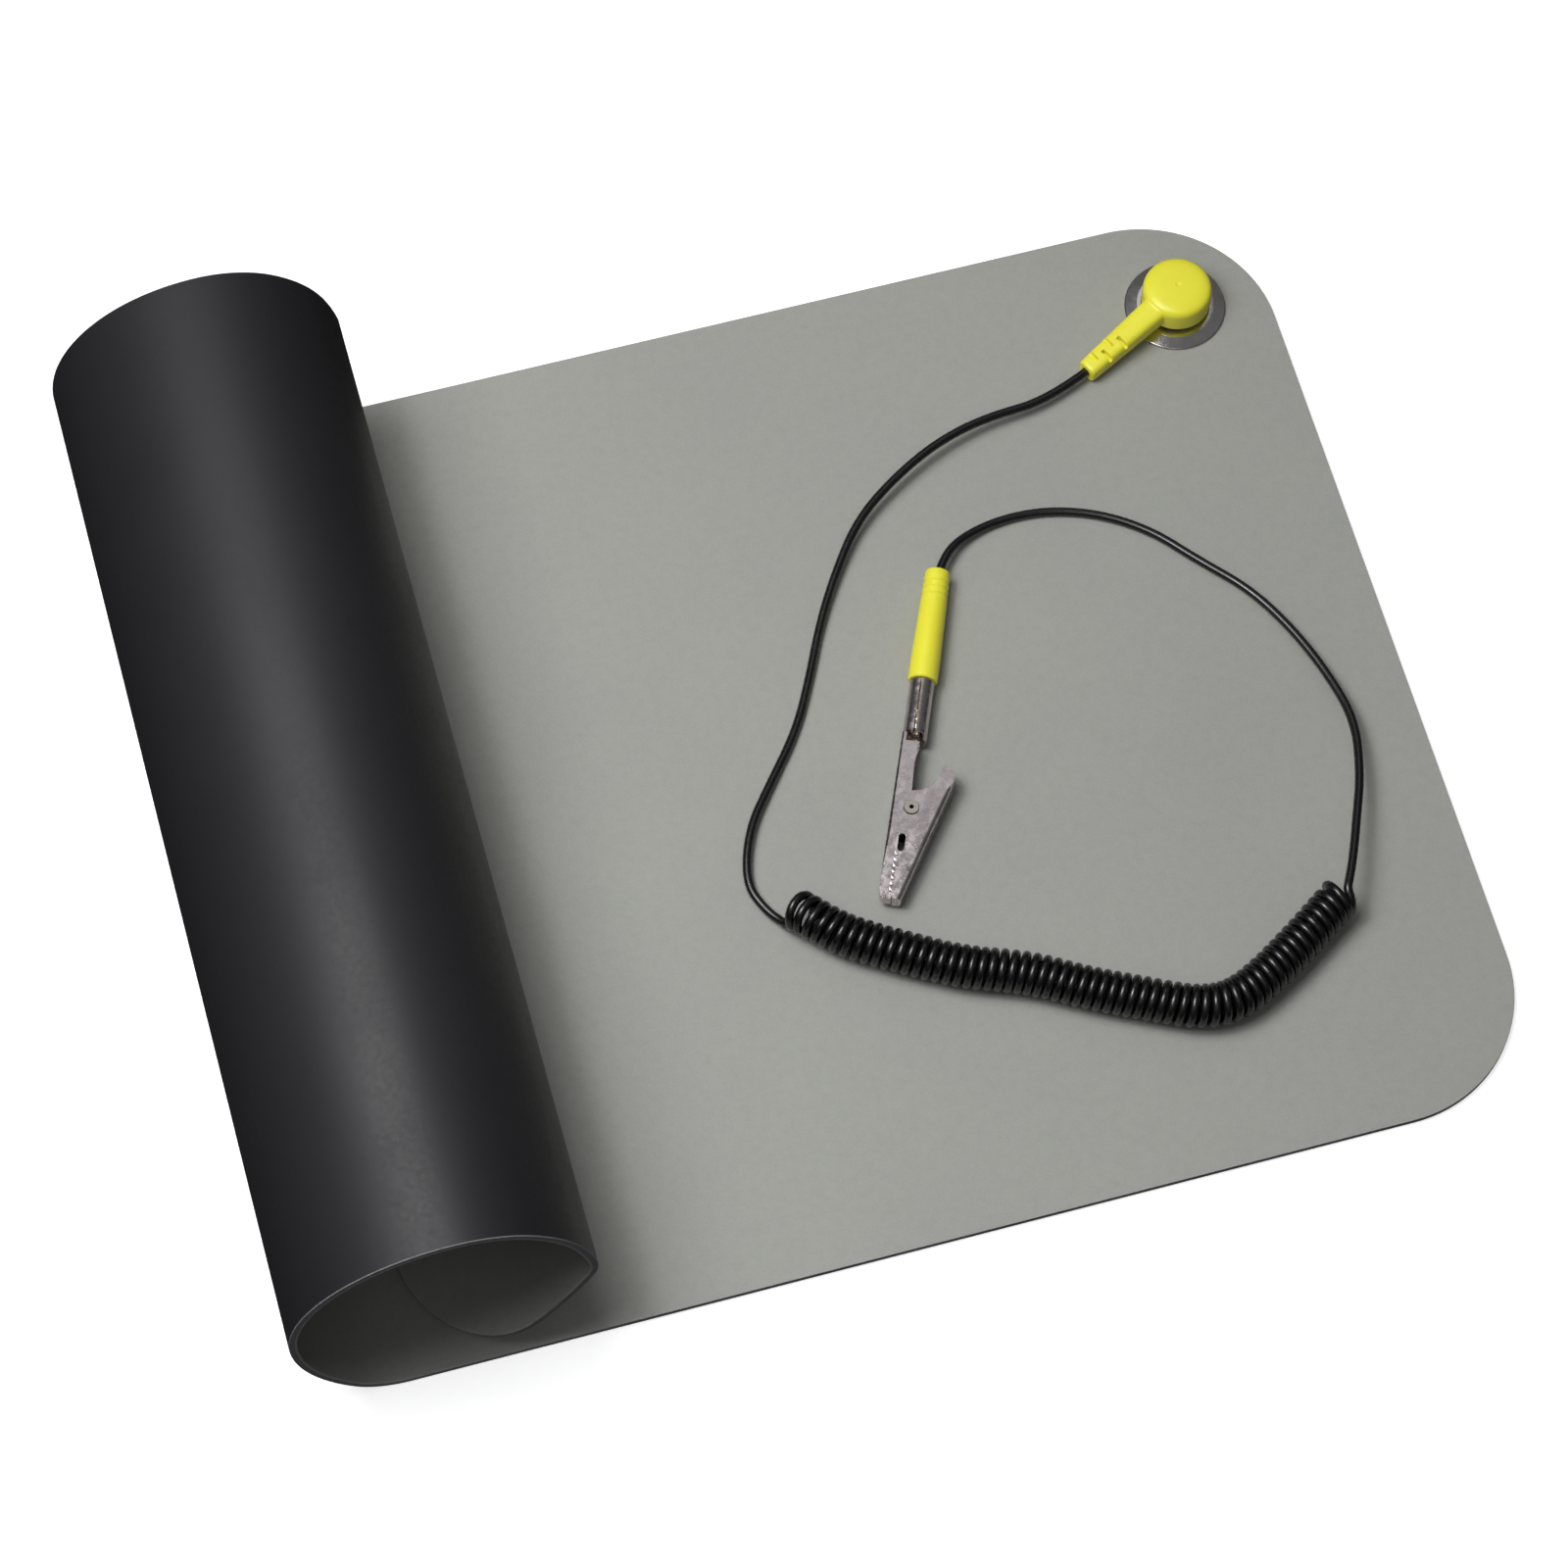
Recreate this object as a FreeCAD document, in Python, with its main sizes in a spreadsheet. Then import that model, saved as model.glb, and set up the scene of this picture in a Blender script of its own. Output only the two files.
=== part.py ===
import FreeCAD, Part
import math
import os
import Sketcher
from FreeCAD import Placement, Rotation, Vector

# A two-layer anti-static bench mat, rolled up at one end, with a press-stud in
# one corner and a coiled ground lead snapped onto it.  The lead ends in a 4 mm
# plug that carries an alligator clip.
# Frame: origin on the floor under the middle of the mat's outline, +X from the
# roll towards the stud, +Y across the mat, +Z up.  Millimetres.

doc = FreeCAD.newDocument("bench_ground_mat")

# ---------------------------------------------------------------- dimensions
DIMS = [
    # mat sheet
    ("mat_width", 250.0), ("half_length", 150.9), ("sheet_length", 500.0),
    ("base_thick", 1.4), ("sheet_thick", 2.0), ("corner_rad", 34.3),
    ("free_corner_rad", 30.0), ("free_end_gap", 2.3),
    # roll, outer face: radius and turn of each arc in order
    ("roll_rad_a", 17.3), ("roll_turn_a", 50.0), ("roll_rad_b", 53.9), ("roll_turn_b", 40.0),
    ("roll_rad_c", 40.0), ("roll_turn_c", 40.0), ("roll_rad_d", 38.6), ("roll_turn_d", 50.0),
    ("roll_rad_e", 27.8), ("roll_turn_e", 40.0), ("roll_rad_f", 37.4), ("roll_turn_f", 30.0),
    ("roll_rad_g", 61.7), ("roll_turn_g", 10.0), ("roll_rad_i", 14.1), ("roll_turn_i", 35.0),
    ("roll_rad_j", 122.7), ("roll_turn_j", 10.0),
    # press-stud on the mat
    ("stud_x", 127.3), ("stud_y", 99.8),
    ("mat_hole_rad", 2.0), ("counterbore_rad", 6.8), ("rivet_disc_rad", 6.5), ("rivet_disc_thick", 0.5),
    ("rivet_shank_rad", 1.85), ("rivet_flare_rad", 2.7), ("rivet_flare_thick", 0.5),
    ("washer_rad", 12.8), ("washer_flat_rad", 6.4), ("washer_ridge_rad", 8.8), ("washer_ridge_height", 3.3),
    ("washer_thick", 0.5), ("washer_rim_height", 2.55),
    ("flange_rad", 6.0), ("stud_sheet", 0.4), ("stud_neck_rad", 4.3), ("stud_bulb_rad", 5.0),
    ("stud_neck_top", 4.3), ("stud_bulb_low", 4.8), ("stud_bulb_high", 5.9), ("stud_top", 6.3),
    # snap socket and what is moulded in with it
    ("socket_rad", 6.8), ("socket_wall", 0.4), ("socket_low", 3.3), ("socket_top", 7.4), ("socket_mouth_rad", 5.15),
    ("ring_rad", 4.95), ("ring_wire_rad", 0.35), ("ring_height", 4.1), ("ring_angle", 300.0),
    ("eyelet_rad", 1.3), ("eyelet_head_rad", 2.2), ("eyelet_bore_rad", 0.7), ("eyelet_head_thick", 0.35),
    ("terminal_rad", 3.8), ("terminal_thick", 0.4), ("terminal_reach", 10.2), ("terminal_half_width", 1.3),
    ("core_height", 6.4), ("mouth_height", 5.2), ("wire_rad", 0.3), ("wire_drop_at", 9.0), ("wire_bend_rad", 0.6),
    ("resistor_start", 13.2), ("resistor_end", 19.5), ("resistor_rad", 1.15), ("resistor_waist_rad", 0.98),
    ("lead_wire_end", 22.4), ("strand_rad", 0.5),
    # moulded snap head
    ("head_rad", 8.7), ("head_low", 5.0), ("head_shoulder", 10.6), ("head_top", 12.9), ("head_crown_rad", 5.6),
    ("neck_end", 31.2), ("neck_root", 5.0), ("neck_root_half", 3.6), ("neck_end_half", 2.65),
    ("neck_root_low", 5.6), ("neck_root_high", 12.0), ("neck_end_low", 2.6), ("neck_end_high", 7.8), ("neck_bevel", 1.0),
    ("notch_width", 1.0), ("notch_depth", 1.6), ("notch_pitch", 2.55), ("notch_first", 28.0), ("notch_past", 0.5),
    ("jacket_tuck", 5.0),
    # cord
    ("cord_rad", 1.1), ("coil_rad", 5.25), ("coil_height", 7.55),
    # plug and clip; along is measured from the cord end of the plug sleeve
    ("clip_x", 47.9), ("clip_y", 40.9), ("clip_height", 6.0), ("clip_heading", -113.26),
    ("sleeve_length", 30.2), ("sleeve_tail_rad", 3.1), ("sleeve_mid_rad", 3.7), ("sleeve_front_rad", 3.65),
    ("sleeve_mid_at", 26.0), ("plug_root_at", 9.0), ("plug_root_rad", 2.2), ("plug_strand_rad", 0.7), ("plug_cup_end", 13.0),
    ("pin_rad", 1.6), ("pin_collar_rad", 2.0), ("pin_end", 44.0),
    ("leaf_start", 31.0), ("leaf_end", 42.2), ("leaf_end_rad", 1.62), ("leaf_belly_rad", 2.2), ("leaf_thick", 0.3), ("leaf_slot", 0.5),
    ("tube_rad", 3.0), ("tube_wall", 0.45), ("tube_start", 30.5), ("tube_end", 46.5), ("seam_width", 0.5),
    ("notch_from", 44.7), ("notch_to", 47.4), ("notch_half", 1.9),
    ("pivot_at", 65.25), ("pivot_side", 1.7), ("pivot_rad", 1.1), ("pivot_bore_rad", 0.55), ("pivot_play", 0.05),
    ("pivot_head_rad", 1.95), ("pivot_head_low", 3.25), ("pivot_head_high", 3.6),
    ("fixed_half", 2.6), ("moving_half", 3.2), ("jaw_wall", 0.5), ("nose_taper", 1.0), ("taper_from", 72.0), ("jaw_end", 89.0),
    ("eye_at", 74.6), ("eye_side", 0.5), ("eye_half_length", 2.3), ("eye_rad", 0.85),
    ("spring_rad", 1.75), ("spring_wire_rad", 0.3), ("spring_turns", 3.0), ("spring_pitch", 0.8),
    ("spring_leg_fixed", 3.7), ("spring_leg_moving", 4.8),
]

sheet = doc.addObject("Spreadsheet::Sheet", "Params")
for row, (alias, value) in enumerate(DIMS, start=1):
    sheet.set("A%d" % row, alias)
    sheet.set("B%d" % row, repr(value))
    sheet.setAlias("B%d" % row, alias)
doc.recompute()


class Q:
    """A size with both its value and the expression that gives it."""

    def __init__(self, text, value):
        self.text = text
        self.value = value

    def __add__(self, other):
        other = as_q(other)
        return Q("(%s + %s)" % (self.text, other.text), self.value + other.value)

    def __sub__(self, other):
        other = as_q(other)
        return Q("(%s - %s)" % (self.text, other.text), self.value - other.value)

    def __mul__(self, other):
        other = as_q(other)
        return Q("(%s * %s)" % (self.text, other.text), self.value * other.value)

    def __neg__(self):
        return Q("(0 - %s)" % self.text, -self.value)

    def __radd__(self, other):
        return as_q(other) + self

    def __rsub__(self, other):
        return as_q(other) - self

    def __rmul__(self, other):
        return as_q(other) * self


def as_q(number):
    return number if isinstance(number, Q) else Q("%.6f" % number, float(number))


class Names:
    pass


P = Names()     # sizes as expressions
V = Names()     # the same sizes as numbers
for alias, value in DIMS:
    number = float(sheet.get(alias))
    setattr(V, alias, number)
    setattr(P, alias, Q("Params." + alias, number))


# ------------------------------------------------------------------- helpers
def bind(obj, prop, size):
    obj.setExpression(prop, as_q(size).text)


def origin_plane(body, role):
    return [f for f in body.Origin.OriginFeatures if f.Role == role][0]


def new_body(name):
    body = doc.addObject("PartDesign::Body", name)
    body.Label = name
    return body


def hold_point(sk, geo, pos, x, y):
    """Pin one point of a sketch to x, y with driving dimensions."""
    x, y = as_q(x), as_q(y)
    for kind, size, axis in (("DistanceX", x, -2), ("DistanceY", y, -1)):
        if abs(size.value) < 1e-9:
            sk.addConstraint(Sketcher.Constraint("PointOnObject", geo, pos, axis))
        elif size.value > 0:
            n = sk.addConstraint(Sketcher.Constraint(kind, -1, 1, geo, pos, size.value))
            sk.setExpression("Constraints[%d]" % n, size.text)
        else:
            n = sk.addConstraint(Sketcher.Constraint(kind, geo, pos, -1, 1, -size.value))
            sk.setExpression("Constraints[%d]" % n, (-size).text)


def polygon(sk, points):
    points = [(as_q(x), as_q(y)) for x, y in points]
    count = len(points)
    first = sk.GeometryCount
    for i in range(count):
        a, b = points[i], points[(i + 1) % count]
        sk.addGeometry(Part.LineSegment(Vector(a[0].value, a[1].value, 0), Vector(b[0].value, b[1].value, 0)), False)
    for i in range(count):
        sk.addConstraint(Sketcher.Constraint("Coincident", first + i, 2, first + (i + 1) % count, 1))
    for i, (x, y) in enumerate(points):
        hold_point(sk, first + i, 1, x, y)


def circle(sk, x, y, radius):
    x, y, radius = as_q(x), as_q(y), as_q(radius)
    geo = sk.addGeometry(Part.Circle(Vector(x.value, y.value, 0), Vector(0, 0, 1), radius.value), False)
    hold_point(sk, geo, 3, x, y)
    n = sk.addConstraint(Sketcher.Constraint("Radius", geo, radius.value))
    sk.setExpression("Constraints[%d]" % n, radius.text)


def sketch_in(body, role, name, offset=None):
    sk = body.newObject("Sketcher::SketchObject", name)
    sk.AttachmentSupport = [(origin_plane(body, role), "")]
    sk.MapMode = "FlatFace"
    if offset is not None:
        sk.setExpression("AttachmentOffset.Base.z", as_q(offset).text)
    return sk


def revolve(body, name, points, axis="V_Axis", angle=360.0, role="XZ_Plane"):
    sk = sketch_in(body, role, name + "_profile")
    polygon(sk, points)
    rev = body.newObject("PartDesign::Revolution", name)
    rev.Profile = sk
    rev.ReferenceAxis = (sk, [axis])
    rev.Angle = angle
    body.Tip = rev
    return rev


def pad(body, name, sk, length, midplane=False):
    feature = body.newObject("PartDesign::Pad", name)
    feature.Profile = sk
    feature.Midplane = midplane
    bind(feature, "Length", length)
    body.Tip = feature
    return feature


def pocket(body, name, sk, length, midplane=False, reverse=False):
    feature = body.newObject("PartDesign::Pocket", name)
    feature.Profile = sk
    feature.Midplane = midplane
    feature.Reversed = reverse
    bind(feature, "Length", length)
    body.Tip = feature
    return feature


def cylinder(name, radius, height, base=(0, 0, 0), axis=(0, 0, 1)):
    obj = doc.addObject("Part::Cylinder", name)
    bind(obj, "Radius", radius)
    bind(obj, "Height", height)
    base = [as_q(b) for b in base]
    obj.Placement = Placement(Vector(*[b.value for b in base]), Rotation(Vector(0, 0, 1), Vector(*axis)))
    for letter, b in zip("xyz", base):
        bind(obj, "Placement.Base." + letter, b)
    return obj


def box(name, low, size):
    obj = doc.addObject("Part::Box", name)
    for prop, s in zip(("Length", "Width", "Height"), size):
        bind(obj, prop, s)
    for letter, b in zip("xyz", low):
        bind(obj, "Placement.Base." + letter, b)
    return obj


def fuse(name, objects):
    obj = doc.addObject("Part::MultiFuse", name)
    obj.Shapes = objects
    return obj


def cut(name, base, tool):
    obj = doc.addObject("Part::Cut", name)
    obj.Base = base
    obj.Tool = tool
    return obj


def common(name, objects):
    obj = doc.addObject("Part::MultiCommon", name)
    obj.Shapes = objects
    return obj


def flat_sketch(name, points, upright=False, end_on=False):
    """A free sketch in the XY plane, in the XZ plane if upright, or in the YZ plane if end on."""
    sk = doc.addObject("Sketcher::SketchObject", name)
    if upright:
        sk.Placement = Placement(Vector(0, 0, 0), Rotation(Vector(1, 0, 0), 90))
    if end_on:
        sk.Placement = Placement(Vector(0, 0, 0), Rotation(90, 0, 90))
    polygon(sk, points)
    return sk


def extrude(name, sk, length, symmetric=True):
    obj = doc.addObject("Part::Extrusion", name)
    obj.Base = sk
    obj.DirMode = "Normal"
    obj.Symmetric = symmetric
    obj.Solid = True
    bind(obj, "LengthFwd", length)
    return obj


NODES = []


def node(obj, label, placement=None):
    obj.Label = label
    if placement is not None:
        obj.Placement = placement
    NODES.append((label, obj))
    return obj


HEADING = Vector(-0.893, -0.450, 0)         # the way the head's neck points
HEAD = Placement(Vector(V.stud_x, V.stud_y, 0), Rotation(Vector(1, 0, 0), HEADING))
STUD = Placement(Vector(V.stud_x, V.stud_y, 0), Rotation())
CLIP = Placement(Vector(V.clip_x, V.clip_y, V.clip_height), Rotation(Vector(0, 0, 1), V.clip_heading))


# ------------------------------------------------------------- the mat sheet
# The black outer face runs flat from the far edge, lifts off the floor and
# closes into a roll as a chain of tangent arcs.  Its free end comes to rest
# inside the roll, just over the flat part.  Layers are offsets of this chain.
ROLL = [(getattr(V, "roll_rad_" + k), getattr(V, "roll_turn_" + k)) for k in "abcdefgij"]


def roll_chain(x_start, arcs):
    point, heading, found = Vector(x_start, 0, 0), math.pi, []
    for radius, turn in arcs:
        turn = math.radians(turn)
        normal = Vector(math.sin(heading), 0, -math.cos(heading))
        centre = point + normal * radius
        found.append((centre, radius, heading, heading - turn))
        heading -= turn
        point = centre - Vector(math.sin(heading), 0, -math.cos(heading)) * radius
    return found, point, heading


# the roll's leftmost point lies at the end of its second arc
_, _leftmost, _ = roll_chain(0.0, ROLL[:2])
roll_start = -V.half_length - _leftmost.x
_, _last, _heading = roll_chain(roll_start, ROLL)
# the last arc would land tangent to the flat part; it stops where the sheet ends
turn_left = math.pi + _heading
last_rad = (_last.z - V.free_end_gap) / (1 - math.cos(turn_left))
middle = V.sheet_thick / 2
used = V.half_length - roll_start + sum((r - middle) * math.radians(t) for r, t in ROLL)
last_turn = math.degrees((V.sheet_length - used) / (last_rad - middle))
ARCS = ROLL + [(last_rad, last_turn)]
print("roll starts at x %.2f, last arc R %.2f through %.2f of %.2f deg" % (roll_start, last_rad, last_turn, math.degrees(turn_left)))


def offset_edges(inward):
    chain, _, _ = roll_chain(roll_start, ARCS)
    y = -V.mat_width / 2
    edges, start = [Part.LineSegment(Vector(V.half_length, y, inward), Vector(roll_start, y, inward)).toShape()], None
    for centre, radius, h0, h1 in chain:
        def at(h):
            p = centre - Vector(math.sin(h), 0, -math.cos(h)) * (radius - inward)
            return Vector(p.x, y, p.z)
        edges.append(Part.Arc(at(h0), at((h0 + h1) / 2), at(h1)).toShape())
        start = at(h1)
    return edges, start


def sheet_profile(name, low, high):
    outer, end_outer = offset_edges(low)
    inner, end_inner = offset_edges(high)
    y = -V.mat_width / 2
    closing = [Part.LineSegment(end_outer, end_inner).toShape(),
               Part.LineSegment(Vector(V.half_length, y, high), Vector(V.half_length, y, low)).toShape()]
    wire = Part.Wire(Part.__sortEdges__(outer + closing + inner))
    obj = doc.addObject("Part::Feature", name)
    obj.Shape = Part.Face(wire)
    return obj, end_outer


def sheet_layer(label, low, high, hole_tools):
    profile, tip = sheet_profile(label + "_profile", low, high)
    blank = doc.addObject("Part::Extrusion", label + "_blank")
    blank.Base = profile
    blank.DirMode = "Custom"
    blank.Dir = Vector(0, 1, 0)
    blank.Solid = True
    bind(blank, "LengthFwd", P.mat_width)
    tools = list(hole_tools)
    half = P.mat_width * 0.5
    for side in (1, -1):
        tag = label + ("_left" if side > 0 else "_right")
        # rounded corner at the flat end
        low_y = half - P.corner_rad if side > 0 else -half - 1
        square = box(tag + "_square", (P.half_length - P.corner_rad, low_y, -1), (P.corner_rad + 1, P.corner_rad + 1, 6))
        centre_y = (half - P.corner_rad) * side
        disc = cylinder(tag + "_round", P.corner_rad, 8, (P.half_length - P.corner_rad, centre_y, -2))
        tools.append(cut(tag + "_corner", square, disc))
        # rounded corner at the free end, inside the roll
        low_y = half - P.free_corner_rad if side > 0 else -half - 1
        square = box(tag + "_free_square", (tip.x - 3, low_y, P.sheet_thick + 0.15), (P.free_corner_rad + 3, P.free_corner_rad + 1, 21))
        centre_y = (half - P.free_corner_rad) * side
        disc = cylinder(tag + "_free_round", P.free_corner_rad, 30, (tip.x + P.free_corner_rad, centre_y, 1))
        tools.append(cut(tag + "_free_corner", square, disc))
    return node(cut(label, blank, fuse(label + "_tools", tools)), label)


base_hole = cylinder("base_hole", P.mat_hole_rad, 6, (P.stud_x, P.stud_y, -1))
base_recess = cylinder("base_recess", P.counterbore_rad, P.rivet_disc_thick + 1, (P.stud_x, P.stud_y, -1))
sheet_layer("mat_base_layer", 0.0, V.base_thick, [base_hole, base_recess])
top_hole = cylinder("top_hole", P.mat_hole_rad, 6, (P.stud_x, P.stud_y, -1))
sheet_layer("mat_top_layer", V.base_thick, V.sheet_thick, [top_hole])

# --------------------------------------------------- press-stud on the mat
washer = new_body("stud_washer")
w_low = P.sheet_thick
revolve(washer, "washer_dish", [
    (P.mat_hole_rad, w_low), (P.washer_flat_rad, w_low),
    (P.washer_ridge_rad - 0.3, P.washer_ridge_height - P.washer_thick), (P.washer_ridge_rad + 0.5, P.washer_ridge_height - P.washer_thick - 0.05),
    (P.washer_rad, w_low + 0.03), (P.washer_rad, P.washer_rim_height),
    (P.washer_ridge_rad + 0.9, P.washer_ridge_height - 0.1), (P.washer_ridge_rad, P.washer_ridge_height), (P.washer_ridge_rad - 0.7, P.washer_ridge_height - 0.12),
    (P.washer_flat_rad - 0.2, w_low + P.washer_thick), (P.mat_hole_rad, w_low + P.washer_thick)])
node(washer, "stud_washer", STUD)

stud = new_body("ground_stud")
f_low = P.sheet_thick + P.washer_thick
f_high = f_low + P.stud_sheet
revolve(stud, "stud_shell", [
    (P.mat_hole_rad, f_low), (P.flange_rad, f_low), (P.flange_rad, f_high), (P.stud_neck_rad, f_high),
    (P.stud_neck_rad, P.stud_neck_top), (P.stud_bulb_rad, P.stud_bulb_low), (P.stud_bulb_rad, P.stud_bulb_high),
    (P.stud_bulb_rad - 0.6, P.stud_top), (0, P.stud_top), (0, P.stud_top - P.stud_sheet),
    (P.stud_bulb_rad - 0.8, P.stud_top - P.stud_sheet), (P.stud_bulb_rad - P.stud_sheet, P.stud_bulb_high - 0.1),
    (P.stud_bulb_rad - P.stud_sheet, P.stud_bulb_low + 0.1), (P.stud_neck_rad - P.stud_sheet, P.stud_neck_top + 0.1),
    (P.stud_neck_rad - P.stud_sheet, f_high), (P.mat_hole_rad, f_high)])
node(stud, "ground_stud", STUD)

rivet = new_body("stud_rivet")
revolve(rivet, "rivet_turned", [
    (0, 0), (P.rivet_disc_rad, 0), (P.rivet_disc_rad, P.rivet_disc_thick), (P.rivet_shank_rad, P.rivet_disc_thick),
    (P.rivet_shank_rad, f_high), (P.rivet_flare_rad, f_high), (P.rivet_flare_rad, f_high + P.rivet_flare_thick * 0.6),
    (P.rivet_flare_rad - 0.5, f_high + P.rivet_flare_thick), (0, f_high + P.rivet_flare_thick)])
node(rivet, "stud_rivet", STUD)

# ------------------------------------------------ snap socket and its inside
ring = new_body("snap_spring_ring")
ring_sk = sketch_in(ring, "XZ_Plane", "ring_wire_section")
circle(ring_sk, P.ring_rad, P.ring_height, P.ring_wire_rad)
ring_turn = ring.newObject("PartDesign::Revolution", "ring_wire")
ring_turn.Profile = ring_sk
ring_turn.ReferenceAxis = (ring_sk, ["V_Axis"])
bind(ring_turn, "Angle", P.ring_angle)
ring.Tip = ring_turn
node(ring, "snap_spring_ring", STUD)

socket = new_body("snap_socket")
revolve(socket, "socket_shell", [
    (P.socket_mouth_rad, P.socket_low), (P.socket_rad - 0.2, P.socket_low), (P.socket_rad, P.socket_low + 0.2),
    (P.socket_rad, P.socket_top - 0.2), (P.socket_rad - 0.2, P.socket_top), (P.eyelet_rad, P.socket_top),
    (P.eyelet_rad, P.socket_top - P.socket_wall), (P.socket_rad - P.socket_wall, P.socket_top - P.socket_wall),
    (P.socket_rad - P.socket_wall, P.socket_low + P.socket_wall), (P.socket_mouth_rad, P.socket_low + P.socket_wall)])
node(socket, "snap_socket", STUD)

eyelet = new_body("socket_eyelet")
e_low = P.socket_top - P.socket_wall
e_seat = P.socket_top + P.terminal_thick
revolve(eyelet, "eyelet_turned", [
    (0, e_low - P.eyelet_head_thick), (P.eyelet_head_rad, e_low - P.eyelet_head_thick), (P.eyelet_head_rad, e_low),
    (P.eyelet_rad, e_low), (P.eyelet_rad, e_seat), (P.eyelet_head_rad, e_seat), (P.eyelet_head_rad, e_seat + P.eyelet_head_thick),
    (P.eyelet_bore_rad, e_seat + P.eyelet_head_thick), (P.eyelet_bore_rad, e_low + 0.2), (0, e_low + 0.2)])
node(eyelet, "socket_eyelet", STUD)

terminal = new_body("ring_terminal")
sk = sketch_in(terminal, "XY_Plane", "terminal_outline", P.socket_top)
circle(sk, 0, 0, P.terminal_rad)
pad(terminal, "terminal_disc", sk, P.terminal_thick)
sk = sketch_in(terminal, "XY_Plane", "terminal_tail_outline", P.socket_top)
polygon(sk, [(2.0, -P.terminal_half_width), (P.terminal_reach - 0.5, -P.terminal_half_width), (P.terminal_reach, -P.terminal_half_width + 0.5),
             (P.terminal_reach, P.terminal_half_width - 0.5), (P.terminal_reach - 0.5, P.terminal_half_width), (2.0, P.terminal_half_width)])
pad(terminal, "terminal_tail", sk, P.terminal_thick)
sk = sketch_in(terminal, "XY_Plane", "terminal_hole_outline", P.socket_top - 1)
circle(sk, 0, 0, P.eyelet_rad)
pocket(terminal, "terminal_hole", sk, 4, reverse=True)
node(terminal, "ring_terminal", HEAD)

resistor = new_body("series_resistor")
rs, re_, rr, rw, ch = P.resistor_start, P.resistor_end, P.resistor_rad, P.resistor_waist_rad, P.core_height
revolve(resistor, "resistor_body", [
    (rs, 0), (rs, rr - 0.25), (rs + 0.25, rr), (rs + 1.4, rr), (rs + 1.8, rw), (re_ - 1.8, rw), (re_ - 1.4, rr), (re_ - 0.25, rr), (re_, rr - 0.25), (re_, 0)],
    axis="H_Axis")
node(resistor, "series_resistor", HEAD.multiply(Placement(Vector(0, 0, V.core_height), Rotation())))


def points_to_edges(points, arc_rad=None):
    """Straight runs joined by tangent arcs; each arc as large as its runs allow, unless told."""
    edges, here = [], points[0]
    for i in range(1, len(points) - 1):
        a, b, c = points[i - 1], points[i], points[i + 1]
        into, out = (b - a), (c - b)
        shorter = min(into.Length, out.Length)
        into.normalize()
        out.normalize()
        turn = math.acos(max(-1.0, min(1.0, into.dot(out))))
        if arc_rad is None:
            reach = 0.45 * shorter
            radius = reach / math.tan(turn / 2)
        else:
            radius = arc_rad
            reach = radius * math.tan(turn / 2)
        start, end = b - into * reach, b + out * reach
        inward = out - into
        inward.normalize()
        centre = b + inward * (radius / math.cos(turn / 2))
        mid = centre - inward * radius
        edges.append(Part.LineSegment(here, start).toShape())
        edges.append(Part.Arc(start, mid, end).toShape())
        here = end
    edges.append(Part.LineSegment(here, points[-1]).toShape())
    return edges


# two tinned wires: one from the resistor up to the terminal, one to the cord's core
up = [Vector(V.resistor_start, 0, V.core_height), Vector(V.wire_drop_at, 0, V.core_height), Vector(V.wire_drop_at, 0, V.socket_top)]
edges = points_to_edges(up, V.wire_bend_rad)
section = Part.Wire(Part.Circle(up[0], Vector(-1, 0, 0), V.wire_rad).toShape())
wire_up = Part.Wire(edges).makePipeShell([section], True, True)
on = [Vector(V.resistor_end, 0, V.core_height), Vector(V.resistor_end + 0.7, 0, V.core_height), Vector(V.resistor_end + 1.9, 0, V.mouth_height), Vector(V.lead_wire_end, 0, V.mouth_height)]
section = Part.Wire(Part.Circle(on[0], Vector(1, 0, 0), V.wire_rad).toShape())
wire_on = Part.Wire(points_to_edges(on, V.wire_bend_rad)).makePipeShell([section], True, True)
leads = doc.addObject("Part::Feature", "resistor_leads")
leads.Shape = Part.makeCompound([wire_up, wire_on])
node(leads, "resistor_leads", HEAD)

strand = cylinder("snap_end_conductor", P.strand_rad, P.neck_end - P.jacket_tuck - P.lead_wire_end)
node(strand, "snap_end_conductor")
for letter in "xyz":
    strand.setExpression("Placement.Base." + letter, None)
strand.Placement = HEAD.multiply(Placement(Vector(V.lead_wire_end, 0, V.mouth_height), Rotation(Vector(0, 0, 1), Vector(1, 0, 0))))

# ---------------------------------------------------------------- snap head
head = new_body("snap_head_moulding")
revolve(head, "head_puck", [
    (0, P.head_low), (P.head_rad - 0.5, P.head_low), (P.head_rad, P.head_low + 0.6), (P.head_rad, P.head_shoulder),
    (P.head_rad - 0.35, P.head_shoulder + 0.95), (P.head_rad - 1.2, P.head_shoulder + 1.65), (P.head_crown_rad, P.head_top - 0.15), (0, P.head_top)])


def neck_section(name, at, half, low, high):
    sk = sketch_in(head, "YZ_Plane", name, at)
    b = P.neck_bevel
    polygon(sk, [(b - half, low), (half - b, low), (half, low + b), (half, high - b), (half - b, high), (b - half, high), (-half, high - b), (-half, low + b)])
    return sk


root_sk = neck_section("neck_root_section", P.neck_root, P.neck_root_half, P.neck_root_low, P.neck_root_high)
tip_sk = neck_section("neck_tip_section", P.neck_end, P.neck_end_half, P.neck_end_low, P.neck_end_high)
neck = head.newObject("PartDesign::AdditiveLoft", "neck")
neck.Profile = root_sk
neck.Sections = [tip_sk]
neck.Ruled = True
head.Tip = neck
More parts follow.
